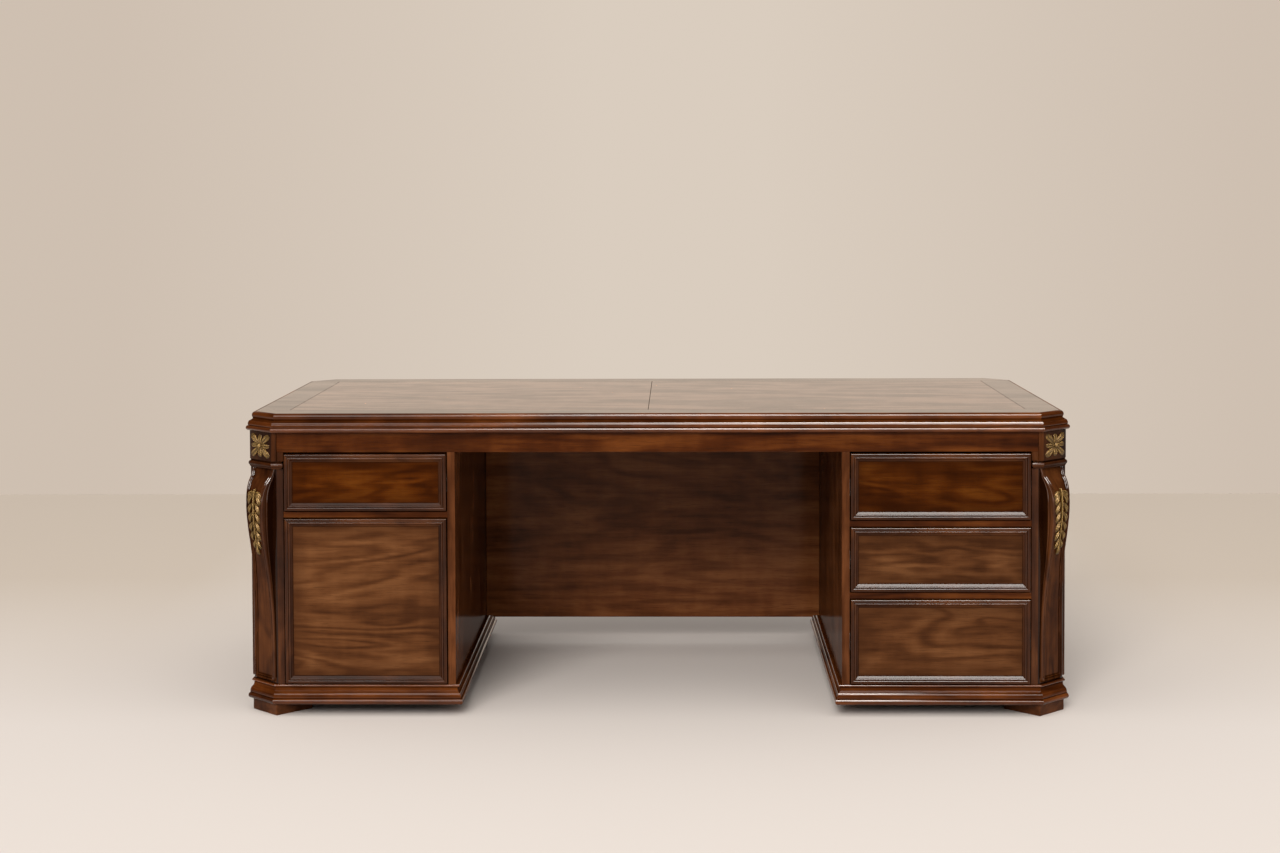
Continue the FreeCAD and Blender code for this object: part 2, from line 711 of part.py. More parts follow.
def drawer_box(name):
    """Two sides between an inner front and a back, and a bottom set between them."""
    left, right = opening(FRONTS[name][0])
    left += SLIDE_WIDTH
    right -= SLIDE_WIDTH
    levels = box_levels(name)
    front_y = FRONT_BACK_Y
    back_y = front_y + BOX_LENGTH
    inner_x = (left + BOX_BOARD, right - BOX_BOARD)
    inner_y = (front_y + BOX_BOARD, back_y - BOX_BOARD)
    floor = levels[0] + BOX_BOTTOM_RISE
    return joined([
        box((left, inner_x[0]), (front_y, back_y), levels),
        box((inner_x[1], right), (front_y, back_y), levels),
        box(inner_x, (front_y, inner_y[0]), levels),
        box(inner_x, (inner_y[1], back_y), levels),
        box(inner_x, inner_y, (floor, floor + BOX_BOTTOM)),
    ])


def drawers():
    nodes = {}
    channels = []
    for name in DRAWERS:
        fixed, middle, running = slide_members(name)
        channels += fixed
        nodes[name + "_front"] = front_board(name)
        nodes[name + "_frame"] = front_frame(name)
        nodes[name + "_box"] = drawer_box(name)
        nodes[name + "_runners"] = joined(running)
        nodes[name + "_middle_slides"] = joined(middle)
    nodes["slide_channels"] = joined(channels)
    return nodes


def pivot():
    """Where the door's hinge line stands, from its left edge and its proud face."""
    return front_span("door")[0] + PIVOT_IN, PROUD_Y + PIVOT_BACK


def hinge_recess(level, up):
    """Room in a board for a hinge plate that is flush with its face at this level."""
    x, y = pivot()
    half = PLATE_LENGTH / 2 + FIT
    front = y - PLATE_FRONT - FIT
    back = front + PLATE_WIDTH + 2 * FIT
    return box((x - half, x + half), (front, back), (level, level + up * PLATE_THICKNESS))


def hinge_plate(level, up):
    x, y = pivot()
    half = PLATE_LENGTH / 2
    front = y - PLATE_FRONT
    return box((x - half, x + half), (front, front + PLATE_WIDTH), (level, level + up * PLATE_THICKNESS))


def hinge_pin_plate(level, up):
    """Plate let into the carcass, with the pin that reaches into the door."""
    x, y = pivot()
    pin = Part.makeCylinder(PIN_RADIUS, PIN_LENGTH, Vector(x, y, level), Vector(0, 0, -up))
    return hinge_plate(level, up).fuse(pin).removeSplitter()


def hinge_socket(level, up):
    """Plate let into the door's edge, with a sleeve that the pin turns in."""
    x, y = pivot()
    bore = PIN_RADIUS + PIN_PLAY
    depth = PLATE_THICKNESS + SLEEVE_LENGTH
    mouth = Vector(x, y, level)
    inwards = Vector(0, 0, -up)
    sleeve = Part.makeCylinder(bore + SLEEVE_WALL, depth, mouth, inwards)
    hole = Part.makeCylinder(bore, depth, mouth, inwards)
    return hinge_plate(level, -up).fuse(sleeve).removeSplitter().cut(hole)


def door_pieces():
    side, low, high = FRONTS["door"]
    x, y = pivot()
    panel = front_board("door")
    hole = PIN_RADIUS + PIN_PLAY + SLEEVE_WALL + FIT
    depth = PLATE_THICKNESS + SLEEVE_LENGTH + FIT
    for level, up in ((high, 1), (low, -1)):
        panel = panel.cut(hinge_recess(level, -up))
        panel = panel.cut(Part.makeCylinder(hole, depth, Vector(x, y, level), Vector(0, 0, -up)))
    divider_under = rail_above("door")[0]
    catch_x = opening("left")[1] - CATCH_FROM_EDGE
    catch_span = (catch_x - CATCH_LENGTH, catch_x)
    catch_y = FRONT_BACK_Y + STRIKE_THICKNESS + FIT
    return {
        "door_panel": panel,
        "door_frame": front_frame("door"),
        "door_hinge_sockets": joined([hinge_socket(high, 1), hinge_socket(low, -1)]),
        "door_strike_plate": box(catch_span, (FRONT_BACK_Y, FRONT_BACK_Y + STRIKE_THICKNESS),
                                 (high - CATCH_HEIGHT, high)),
        "hinge_pin_plates": joined([hinge_pin_plate(divider_under, 1), hinge_pin_plate(BASE_TOP, -1)]),
        "magnet_catch": box(catch_span, (catch_y, catch_y + CATCH_DEPTH),
                            (divider_under - CATCH_HEIGHT, divider_under)),
    }


def bracket_places():
    """Where the brackets stand: the face of a board, the way into its pedestal, and the place along it."""
    places = []
    for side, (outwards, knee) in PEDESTALS.items():
        left, right = opening(side)
        for y in (-BRACKET_Y, BRACKET_Y):
            places.append((left, 1, y))
            places.append((right, -1, y))
    return places


def bracket_screw_line(place, upright):
    """Foot and direction of a screw's axis, where it enters the wood."""
    face, toward, y = place
    if upright:
        return Vector(face + toward * SCREW_FROM_BEND, y, TOP_UNDER), Vector(0, 0, 1)
    return Vector(face, y, TOP_UNDER - SCREW_FROM_BEND), Vector(-toward, 0, 0)


def bracket_screw_hole(place, upright):
    foot, way = bracket_screw_line(place, upright)
    return Part.makeCylinder(SCREW_RADIUS + FIT, SCREW_LENGTH + FIT, foot, way)


def screw(place, upright):
    foot, way = bracket_screw_line(place, upright)
    under_head = foot - way * BRACKET_SHEET
    shank = Part.makeCylinder(SCREW_RADIUS, BRACKET_SHEET + SCREW_LENGTH, under_head, way)
    head = Part.makeCylinder(SCREW_HEAD, SCREW_HEAD_HEIGHT, under_head, way * -1)
    return shank.fuse(head).removeSplitter()


def bracket(place):
    """Steel angle: one leg on a board, the other under the top, with a hole for a screw in each."""
    face, toward, y = place
    width = (y - BRACKET_WIDTH / 2, y + BRACKET_WIDTH / 2)
    upright = box((face, face + toward * BRACKET_SHEET), width, (TOP_UNDER - BRACKET_LEG, TOP_UNDER))
    level = box((face, face + toward * BRACKET_LEG), width, (TOP_UNDER - BRACKET_SHEET, TOP_UNDER))
    angle = upright.fuse(level).removeSplitter()
    for is_upright in (True, False):
        foot, way = bracket_screw_line(place, is_upright)
        hole = Part.makeCylinder(SCREW_RADIUS + FIT, BRACKET_SHEET, foot - way * BRACKET_SHEET, way)
        angle = angle.cut(hole)
    return angle


def fixings():
    places = bracket_places()
    screws = [screw(place, upright) for place in places for upright in (True, False)]
    return {"top_brackets": joined([bracket(place) for place in places]), "bracket_screws": joined(screws)}


os.makedirs("parts", exist_ok=True)
for make in (top_pieces, aprons, corner_pieces, pedestals, rails, drawers, door_pieces, panel_frames, modesty,
             fixings):
    for node, shape in make().items():
        shape.exportStep("parts/" + node + ".step")
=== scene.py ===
import math

import bpy
import numpy as np
from mathutils import Matrix, Vector


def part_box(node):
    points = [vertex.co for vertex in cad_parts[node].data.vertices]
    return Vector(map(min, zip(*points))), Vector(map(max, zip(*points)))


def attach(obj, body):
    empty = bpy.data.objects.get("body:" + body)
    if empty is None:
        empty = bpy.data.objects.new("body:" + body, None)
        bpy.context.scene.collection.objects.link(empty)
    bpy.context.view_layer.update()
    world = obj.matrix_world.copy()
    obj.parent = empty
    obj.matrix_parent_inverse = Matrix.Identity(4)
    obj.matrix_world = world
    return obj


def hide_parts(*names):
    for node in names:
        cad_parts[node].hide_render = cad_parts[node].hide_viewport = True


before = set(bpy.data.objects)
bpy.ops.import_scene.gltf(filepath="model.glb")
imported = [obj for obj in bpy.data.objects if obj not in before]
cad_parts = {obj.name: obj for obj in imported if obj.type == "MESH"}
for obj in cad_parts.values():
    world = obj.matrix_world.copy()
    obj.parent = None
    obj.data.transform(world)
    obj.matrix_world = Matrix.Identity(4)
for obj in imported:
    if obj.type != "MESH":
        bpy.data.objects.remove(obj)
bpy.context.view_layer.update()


# Hidden carcass: the liners that carry the slides, the pedestal bottoms, the core of the top, the cleats
# and the inner feet. They are blockboard and softwood with one coat of dark stain, glued and screwed.

def connect(tree, node, inputs):
    """Sets a node's inputs, each to a value or linked to another node's output."""
    for name, value in inputs.items():
        if isinstance(value, bpy.types.NodeSocket):
            tree.links.new(value, node.inputs[name])
        else:
            node.inputs[name].default_value = value


def add_shader(tree, kind, inputs=None, **settings):
    """A shader node with its settings and inputs."""
    node = tree.nodes.new(kind)
    for name, value in settings.items():
        setattr(node, name, value)
    connect(tree, node, inputs or {})
    return node


def arithmetic(tree, operation, first, second=None, limit=False):
    """One sum on one or two numbers."""
    inputs = {0: first} if second is None else {0: first, 1: second}
    return add_shader(tree, "ShaderNodeMath", inputs, operation=operation, use_clamp=limit).outputs[0]


def spread(tree, value, low, high, to_low=0.0, to_high=1.0):
    """Stretches the part of a value between low and high, and holds it outside."""
    inputs = {"Value": value, "From Min": low, "From Max": high, "To Min": to_low, "To Max": to_high}
    return add_shader(tree, "ShaderNodeMapRange", inputs).outputs[0]


def stretched_noise(tree, place, stretch, scale, detail, twist=0.0):
    """Noise in a place that is first scaled axis by axis: a small factor draws it out along that axis."""
    moved = add_shader(tree, "ShaderNodeVectorMath", {0: place, 1: stretch}, operation="MULTIPLY").outputs[0]
    inputs = {"Vector": moved, "Scale": scale, "Detail": detail, "Roughness": 0.55, "Distortion": twist}
    return add_shader(tree, "ShaderNodeTexNoise", inputs).outputs[0]


def blended(tree, share, first, second):
    """Two colours mixed by a share."""
    inputs = {0: share, 6: first, 7: second}
    return add_shader(tree, "ShaderNodeMix", inputs, data_type="RGBA").outputs[2]


def object_place(tree):
    """Where a point is on its object, in metres."""
    return add_shader(tree, "ShaderNodeTexCoord").outputs["Object"]


def mesh_mark(tree, name):
    """A mark that a mesh carries at its points, from 0 to 1."""
    return add_shader(tree, "ShaderNodeAttribute", attribute_name=name).outputs["Fac"]


def new_finish(name):
    """An empty material with its node tree and its main shader."""
    material = bpy.data.materials.new(name)
    material.use_nodes = True
    tree = material.node_tree
    return material, tree, tree.nodes["Principled BSDF"]


GRAIN_TURNS = {"stick": (0, 0, 0), "x": (0, 0, 0), "y": (0, 0, -math.pi / 2), "z": (0, math.pi / 2, 0)}


def grain_place(tree, grain, shift):
    """Where a point is in the wood, with the grain along the first axis: from the UV map of a moulded stick,
    or from the place on the object, turned so that the grain runs along x, y or z."""
    if grain == "stick":
        place = add_shader(tree, "ShaderNodeUVMap", uv_map="grain").outputs[0]
    else:
        place = object_place(tree)
    inputs = {"Vector": place, "Location": shift, "Rotation": GRAIN_TURNS[grain]}
    return add_shader(tree, "ShaderNodeMapping", inputs).outputs[0]


RING_TURNS = 80.0
FIGURE_SHARE, STREAK_SHARE, MOTTLE_SHARE = 0.66, 0.20, 0.14


def wood_figure(tree, place, flame, flame_size):
    """Shares of light wood, of dark growth lines and of open pores. Growth rings are the sine of a smooth
    noise drawn out along the grain, so its contours make flames and ovals; dark lines are their crests,
    where a second noise lets them show. Clouds, streaks and pores are noise, drawn out further and further.
    Flame is the rings' part of the figure's share, and clouds have the rest of it."""
    drift = stretched_noise(tree, place, (0.20, 1.0, 1.0), flame_size, 3.0, 0.45)
    rings = arithmetic(tree, "SINE", arithmetic(tree, "MULTIPLY", drift, RING_TURNS))
    patches = spread(tree, stretched_noise(tree, place, (0.35, 1.0, 1.0), 11.0, 2.0), 0.40, 0.62)
    lines = arithmetic(tree, "MULTIPLY", spread(tree, rings, 0.30, 1.0), patches)
    cloud = stretched_noise(tree, place, (0.26, 1.0, 1.0), 11.0, 4.0, 0.5)
    streaks = stretched_noise(tree, place, (0.05, 1.0, 1.0), 110.0, 4.0, 0.2)
    mottle = stretched_noise(tree, place, (1.0, 0.4, 0.4), 22.0, 2.0)
    pores = stretched_noise(tree, place, (0.03, 1.0, 1.0), 900.0, 2.0)
    light = arithmetic(tree, "MULTIPLY", spread(tree, rings, 1, -1), flame)
    for noise, weight in ((cloud, FIGURE_SHARE - flame), (streaks, STREAK_SHARE), (mottle, MOTTLE_SHARE)):
        part = arithmetic(tree, "MULTIPLY", spread(tree, noise, 0.3, 0.7), weight)
        light = arithmetic(tree, "ADD", light, part)
    return light, lines, spread(tree, pores, 0.56, 0.70)


EDGE_DARK_FULL, EDGE_DARK_END, EDGE_DARKNESS = 0.014, 0.062, 0.62


def edge_darkening(tree, centre, half):
    """How much darker a panel that faces along y is round its edge: the distance to the nearest edge is half
    the size less the distance from the middle line, and the share falls from the edge inwards to 0."""
    places = add_shader(tree, "ShaderNodeSeparateXYZ", {0: object_place(tree)}).outputs
    gaps = []
    for axis, middle, reach in zip((0, 2), centre, half):
        offset = arithmetic(tree, "ABSOLUTE", arithmetic(tree, "SUBTRACT", places[axis], middle))
        gaps.append(arithmetic(tree, "SUBTRACT", reach, offset))
    return spread(tree, arithmetic(tree, "MINIMUM", *gaps), EDGE_DARK_FULL, EDGE_DARK_END, EDGE_DARKNESS, 0.0)


DARKENED, RUB_AND_SHINE_LIFT = 0.4, 1.4
PORE_SHARE, GLAZE_AND_SHADE_SHARE, RUB_AND_SHINE_SHARE = 0.45, 0.85, 0.4
SUNK_LACQUER = 0.88


def sawn_wood(name, grain, tones, flame=0.2, flame_size=5.0, shift=(0, 0, 0), lacquer=0.8, haze=0.09,
              rough=0.42, depth=1.3, lined=0.5, panel=None, burnished=None):
    """Wood under lacquer: a ramp from dark to light wood, dark growth lines and pores, and arrises lightened
    by rubbing, and on the corbels' shoulders by a painted highlight. Hollows darken, partly glaze and partly
    painted shade, and a panel darkens towards its edges. The lacquer sinks into dark wood a little more.
    Depth is its refraction, and burnished its weight on raised rounds, polished further than flats and
    hollows."""
    material, tree, shader = new_finish(name)
    place = grain_place(tree, grain, shift)
    light, lines, pores = wood_figure(tree, place, flame, flame_size)
    ramp = add_shader(tree, "ShaderNodeValToRGB", {"Fac": light})
    stops = ramp.color_ramp.elements
    stops[0].position = 0.2
    stops[1].position = 0.8
    stops[0].color = (*tones[0], 1)
    stops[1].color = (*tones[2], 1)
    stops.new(0.5).color = (*tones[1], 1)
    dark = (*(DARKENED * tone for tone in tones[0]), 1)
    colour = blended(tree, arithmetic(tree, "MULTIPLY", lines, lined), ramp.outputs[0], (*tones[0], 1))
    colour = blended(tree, arithmetic(tree, "MULTIPLY", pores, PORE_SHARE), colour, dark)
    if panel:
        colour = blended(tree, edge_darkening(tree, *panel), colour, (*tones[0], 1))
    arris, hollow = mesh_mark(tree, "arris"), mesh_mark(tree, "hollow")
    wear_and_shine = spread(tree, stretched_noise(tree, place, (0.3, 1, 1), 30.0, 3.0), 0.35, 0.75, 0.0, RUB_AND_SHINE_SHARE)
    rub_shine_colour = (*(RUB_AND_SHINE_LIFT * tone for tone in tones[2]), 1)
    # Arrises lighten with rubbing; on the corbels' shoulders the same lightening is a painted highlight.
    colour = blended(tree, arithmetic(tree, "MULTIPLY", arris, wear_and_shine), colour, rub_shine_colour)
    # Hollows darken towards the dark wood: partly glaze, partly painted shade in coves, grooves and
    # recesses.
    colour = blended(tree, arithmetic(tree, "MULTIPLY", hollow, GLAZE_AND_SHADE_SHARE), colour, dark)
    roughness = spread(tree, light, 0.1, 0.9, rough + 0.08, rough - 0.08)
    pits = {"Strength": 0.2, "Distance": 0.0003, "Height": pores}
    bump = add_shader(tree, "ShaderNodeBump", pits, invert=True).outputs[0]
    if burnished:
        polish = spread(tree, arris, 0.05, 0.28, lacquer, burnished)
        polish = arithmetic(tree, "MULTIPLY", polish, spread(tree, hollow, 0.0, 0.4, 1.0, 0.0))
    else:
        polish = spread(tree, light, 0.3, 0.7, SUNK_LACQUER * lacquer, lacquer)
    connect(tree, shader, {"Base Color": colour, "Roughness": roughness, "Normal": bump,
                           "Specular IOR Level": 0.0, "Coat Weight": polish, "Coat Roughness": haze,
                           "Coat IOR": depth})
    return material


def finish_nodes(material, *names):
    """Gives solids that stay as they are their finish."""
    for name in names:
        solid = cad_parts[name]
        if not solid.material_slots:
            solid.data.materials.append(material)
        for slot in solid.material_slots:
            slot.material = material


def ease_edges(width, *names):
    """Takes the sharp arris off boards: touching corners are merged, then each edge gets a small round."""
    for name in names:
        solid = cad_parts[name]
        solid.modifiers.new("merge", "WELD").merge_threshold = 0.00002
        ease = solid.modifiers.new("ease", "BEVEL")
        ease.width = width
        ease.segments = 2
        ease.limit_method = "ANGLE"
        ease.angle_limit = math.radians(35)


STAINED = ((0.012, 0.005, 0.003), (0.03, 0.012, 0.006), (0.05, 0.02, 0.01))
stained_board = sawn_wood("stained_board", "z", STAINED, lacquer=0.1, haze=0.4, rough=0.6)
finish_nodes(stained_board, "pedestal_liners", "pedestal_bottoms", "top_core", "modesty_cleats",
             "inner_feet")


# Boards of the pedestals: outer and kneehole sides, backs, the modesty panel across the kneehole, the aprons
# and the rails between the fronts. Veneered board with lipped edges, stained and lacquered before joining.

WALNUT = ((0.020, 0.0042, 0.0006), (0.058, 0.0135, 0.0020), (0.115, 0.0320, 0.0055))
# Painted light: the modesty panel's walnut is lighter than the other boards', to make up for the shade it
# stands in under the top.
KNEEHOLE_LIT_WALNUT = ((0.060, 0.0176, 0.0056), (0.124, 0.0395, 0.0125), (0.192, 0.0690, 0.0230))
SHADED_WALNUT = ((0.031, 0.0088, 0.0024), (0.071, 0.0218, 0.0066), (0.128, 0.0425, 0.0138))
BOARD_EASE = 0.0008
upright_veneer = sawn_wood("upright_veneer", "z", SHADED_WALNUT, flame=0.06, lacquer=0.3, haze=0.16,
                           lined=0.2)
level_veneer = sawn_wood("level_veneer", "x", WALNUT, flame=0.16, flame_size=4.0, shift=(2.3, 0.3, 0),
                         depth=1.2)
kneehole_lit_veneer = sawn_wood("kneehole_lit_veneer", "x", KNEEHOLE_LIT_WALNUT, flame=0.14, flame_size=3.0, depth=1.2)
side_veneer = sawn_wood("side_veneer", "y", WALNUT, flame=0.2, flame_size=3.4)
finish_nodes(upright_veneer, "left_inner_side", "right_inner_side")
finish_nodes(side_veneer, "left_outer_side", "right_outer_side", "side_aprons")
finish_nodes(kneehole_lit_veneer, "modesty_panel")
finish_nodes(level_veneer, "front_apron", "back_apron", "pedestal_backs", "left_divider",
             "right_drawer_rails")
ease_edges(BOARD_EASE, "left_inner_side", "right_inner_side", "modesty_panel", "left_divider",
           "right_drawer_rails", "front_apron", "back_apron", "side_aprons")


# Base mouldings: one round each pedestal, a bead, a notch, a flare and a torus run on solid sticks and
# mitred at every corner. The flat behind the bead carries the boards.

ARC_POINTS = 9
SHORTEST_BEND = 0.0004
ARRIS_RADIUS, HOLLOW_RADIUS = 0.0016, 0.0040
STICK_STEP = 3.17


def section_points(start, *steps):
    """Points along a moulding's section, given in millimetres. A step is an end point, or a point on an arc
    and the arc's end point; an arc is sampled at equal angles about the centre of the circle through its
    three points."""
    points = [np.array([start], float)]
    for step in steps:
        here = points[-1][-1]
        if np.ndim(step) == 1:
            points.append(np.array([step], float))
            continue
        middle, end = np.array(step, float)
        chords = np.array([middle - here, end - here])
        centre = np.linalg.solve(2 * chords, [middle @ middle - here @ here, end @ end - here @ here])
        spokes = np.array([here, middle, end]) - centre
        angles = np.unwrap(np.arctan2(spokes[:, 1], spokes[:, 0]))
        turn = np.linspace(angles[0], angles[2], ARC_POINTS)[1:]
        radius = np.hypot(*spokes[0])
        points.append(centre + radius * np.stack([np.cos(turn), np.sin(turn)], 1))
    return np.concatenate(points) / 1000


def section_bends(section):
    """How far each point of a closed section is a sharp arris, and how far a hollow, from 0 to 1: the turn
    of the outline there, divided by the length that it turns over, times the radius that counts as sharp."""
    after = np.roll(section, -1, 0) - section
    before = np.roll(after, 1, 0)
    turn = np.arctan2(np.cross(before, after), np.sum(before * after, 1))
    area = np.sum(np.cross(section, np.roll(section, -1, 0)))
    length = 0.5 * (np.hypot(*after.T) + np.hypot(*before.T)) + SHORTEST_BEND
    bend = np.sign(area) * turn / length
    return np.clip(bend * ARRIS_RADIUS, 0, 1), np.clip(-bend * HOLLOW_RADIUS, 0, 1)


def mitred_ring(corners, section, origin=(0, 0, 0), axes=np.eye(3)):
    """A moulding round a closed plan. Section point (inset, height) stands at corner + inset * mitre, where
    the mitre runs into the plan and is one unit away from both sides. UV is the length along the stick and
    the length round the section. Returns vertices, faces, UVs, and the marks arris and hollow."""
    corners = np.asarray(corners, float)
    count = len(corners)
    rows = len(section)
    after = np.roll(corners, -1, 0) - corners
    after /= np.hypot(*after.T)[:, None]
    before = np.roll(after, 1, 0)
    mitre = (after - before) / np.cross(before, after)[:, None]
    plan = corners[:, None] + section[None, :, :1] * mitre[:, None]
    height = np.broadcast_to(section[:, 1], (count, rows))
    points = np.concatenate([plan, height[..., None]], 2)
    side, row = np.meshgrid(np.arange(count), np.arange(rows), indexing="ij")
    following = (side + 1) % count
    above = (row + 1) % rows
    own_side = np.stack([side, following, following, side], 2)
    own_row = np.stack([row, row, above, above], 2)
    faces = own_side * rows + own_row
    run = np.sum((plan[own_side, own_row] - corners[:, None, None]) * after[:, None, None], 3)
    girth = np.concatenate([[0], np.cumsum(np.hypot(*(np.roll(section, -1, 0) - section).T))])
    across = girth[np.stack([row, row, row + 1, row + 1], 2)]
    uv = np.stack([run + STICK_STEP * side[..., None], across], 3)
    points = np.asarray(origin) + points.reshape(-1, 3) @ np.asarray(axes, float)
    marks = np.tile(np.stack(section_bends(section), 1), (count, 1))
    return points, faces.reshape(-1, 4), uv.reshape(-1, 4, 2), marks


def outward(points, faces, uv):
    """Turns a closed shell's faces to the outside: its signed volume, summed over triangles, is positive."""
    corner = points[faces]
    volume = np.sum(np.cross(corner[:, 0], corner[:, 1]) * corner[:, 2])
    volume += np.sum(np.cross(corner[:, 0], corner[:, 2]) * corner[:, 3])
    return (faces, uv) if volume > 0 else (faces[:, ::-1], uv[:, ::-1])


def build_piece(name, shells, material, body, stands_for, crease=32):
    """One object from several shells of vertices, faces, UVs and marks, on a body and in place of its
    solids. Edges that turn by more than crease degrees stay sharp."""
    points, faces, uvs, marks = [], [], [], []
    start = 0
    for shell_points, shell_faces, shell_uv, shell_marks in shells:
        shell_faces, shell_uv = outward(shell_points, shell_faces, shell_uv)
        points.append(shell_points)
        faces.append(shell_faces + start)
        uvs.append(shell_uv)
        marks.append(shell_marks)
        start += len(shell_points)
    mesh = bpy.data.meshes.new(name)
    mesh.from_pydata(np.concatenate(points).tolist(), [], np.concatenate(faces).tolist())
    mesh.uv_layers.new(name="grain").data.foreach_set("uv", np.concatenate(uvs).ravel())
    marks = np.concatenate(marks)
    for index, mark in enumerate(("arris", "hollow")):
        mesh.attributes.new(mark, "FLOAT", "POINT").data.foreach_set("value", marks[:, index].copy())
    mesh.shade_smooth()
    mesh.set_sharp_from_angle(angle=math.radians(crease))
    mesh.materials.append(material)
    piece = bpy.data.objects.new(name, mesh)
    bpy.context.collection.objects.link(piece)
    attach(piece, body)
    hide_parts(*stands_for)


EDGE_WALNUT = ((0.026, 0.0056, 0.0010), (0.077, 0.0190, 0.0034), (0.145, 0.0400, 0.0080))
edge_stick = sawn_wood("edge_stick", "stick", EDGE_WALNUT, flame=0.05, lacquer=0.16, haze=0.04, rough=0.34,
                       depth=1.5, burnished=1.0)
LIP_X, LIP_Y, CANT = 1.040, 0.500, 0.076
BASE_TOP = 0.079
KNEE_LIPS = {"left": -0.486, "right": 0.445}
base_section = section_points(
    (54, -0.3), (13.2, -0.3), (12.6, 0), (12, 0), ((9.3, -3), (12, -6)), (14, -7),
    ((12.5, -17), (7.5, -22)), ((5.4, -27), (5, -33)), (6.5, -35), ((0, -42), (5, -49)), (54, -49))
for side, outwards in (("left", -1), ("right", 1)):
    knee = KNEE_LIPS[side]
    lip = outwards * LIP_X
    cant_start = lip - outwards * CANT
    plan = [(knee, -LIP_Y), (cant_start, -LIP_Y), (lip, CANT - LIP_Y), (lip, LIP_Y - CANT),
            (cant_start, LIP_Y), (knee, LIP_Y)]
    ring = mitred_ring(plan[::outwards], base_section, (0, 0, BASE_TOP))
    build_piece(side + "_base_stick", [ring], edge_stick, "desk", [side + "_base_moulding"])


# Feet: plain blocks of solid wood, one under each canted corner at the cant's angle, stained dark like the
# sides of the kneehole. Glued under the pedestals, with eased edges.

FOOT_EASE = 0.0015
foot_wood = sawn_wood("foot_wood", "x", SHADED_WALNUT, flame=0.05, lacquer=0.5, haze=0.15)
finish_nodes(foot_wood, "corner_feet")
ease_edges(FOOT_EASE, "corner_feet")


# Corner posts and rosette blocks: solid canted sticks, each with a narrow return on both sides. The block
# stands a little proud of the post, and the return behind it carries the stile up to the apron.

FRAME_X, FRAME_Y = 1.026, 0.486
CORNER_SIGNS = np.array([(-1, -1), (1, -1), (1, 1), (-1, 1)])
POST_CUT, POST_SIZE, POST_EASE = 0.075, 0.092, 0.0010
POST_TOP, BLOCK_UNDER, APRON_UNDER, TOP_UNDER = 0.6215, 0.641, 0.6635, 0.713
BLOCK_OUT, BLOCK_RETURN = 0.0113, 0.004
POST_CANT_SHADE, BLOCK_CANT_DARK = 0.95, 0.6
WALL_THICK = 15


def corner_plan(proud, cant_proud, size):
    """Plan of a corner piece from the frame's corner, counter-clockwise: two returns and the cant."""
    cant = POST_CUT - cant_proud * math.sqrt(2)
    return np.array([(size, -proud), (size, size), (-proud, size), (-proud, cant + proud),
                     (cant + proud, -proud)])


def eased_plan(plan, ease):
    """A plan with every corner cut back by the same small length along both of its sides."""
    after = np.roll(plan, -1, 0) - plan
    after /= np.hypot(*after.T)[:, None]
    before = np.roll(after, 1, 0)
    return np.stack([plan - ease * before, plan + ease * after], 1).reshape(-1, 2)


def round_corners(plan, section, level):
    """The same ring of section at all four corners, each turned a quarter further."""
    shells = []
    for turn, signs in enumerate(CORNER_SIGNS):
        cosine, sine = math.cos(turn * math.pi / 2), math.sin(turn * math.pi / 2)
        turned = np.array([[cosine, sine, 0], [-sine, cosine, 0], [0, 0, 1]])
        shells.append(mitred_ring(plan, section, (signs[0] * FRAME_X, signs[1] * FRAME_Y, level), turned))
    return shells


def darkened_cants(shells, glaze):
    """Darkens the canted faces, between the eighth and the ninth of an eased plan's ten points."""
    for shell in shells:
        marks = shell[3]
        rows = len(marks) // 10
        marks[7 * rows:9 * rows, 1] = glaze
    return shells


def upright_section(height):
    """A straight upright wall from level 0 up."""
    return section_points((0, 0), (0, height * 1000), (WALL_THICK, height * 1000), (WALL_THICK, 0))


MOULDED_WALNUT = ((0.015, 0.0040, 0.0012), (0.043, 0.0122, 0.0032), (0.086, 0.0270, 0.0072))
post_wood = sawn_wood("post_wood", "z", MOULDED_WALNUT, flame=0.08, flame_size=4.0, lacquer=0.9)
post_plan = eased_plan(corner_plan(0, 0, POST_SIZE), POST_EASE)
posts = round_corners(post_plan, upright_section(POST_TOP - BASE_TOP), BASE_TOP)
# Painted shade: the posts' canted faces, in the recess beside the corbels, are darkened almost fully.
build_piece("canted_posts", darkened_cants(posts, POST_CANT_SHADE), post_wood, "desk", ["corner_posts"])
block_wood = sawn_wood("block_wood", "z", MOULDED_WALNUT, flame=0.06, lacquer=0.4)
block_plan = eased_plan(corner_plan(BLOCK_RETURN, BLOCK_OUT, POST_CUT), POST_EASE)
blocks = round_corners(block_plan, upright_section(TOP_UNDER - BLOCK_UNDER), BLOCK_UNDER)
# The blocks' canted faces get a darker tone and less lacquer.
blocks = darkened_cants(blocks, BLOCK_CANT_DARK)
blocks += round_corners(post_plan, upright_section(APRON_UNDER - BLOCK_UNDER), BLOCK_UNDER)
build_piece("canted_blocks", blocks, block_wood, "desk", ["rosette_blocks"])


# Neck mouldings: a torus over a small cove, turned round the head of each post under its block, with a plain
# groove between. Solid sticks, mitred at the cant and returned at the ends.

NECK_OUT, NECK_RETURN, NECK_EASE = 0.0148, 0.0075, 0.0006
neck_stick = sawn_wood("neck_stick", "stick", MOULDED_WALNUT, flame=0.05, lacquer=0.15, haze=0.05,
                       rough=0.34, depth=1.5, burnished=0.4)
neck_plan = eased_plan(corner_plan(NECK_RETURN, NECK_OUT, POST_SIZE), NECK_EASE)
neck_section = section_points(
    (20, 0), (4.6, 0), ((3.6, 1.6), (2.6, 4.2)), (1.6, 4.8), ((0, 9.4), (2.8, 14.5)), (7.5, 14.5),
    (7.5, 19.5), (20, 19.5))
build_piece("neck_sticks", round_corners(neck_plan, neck_section, POST_TOP), neck_stick, "desk",
            ["neck_mouldings"])


# Corbels: a scrolled bracket on each cant, which swells below the neck and thins to a flat toe. Twin beads
# run down both edges and round the toe with a sunk panel between, and a half round runs down each side.
# Carved from the solid and glued to the post.

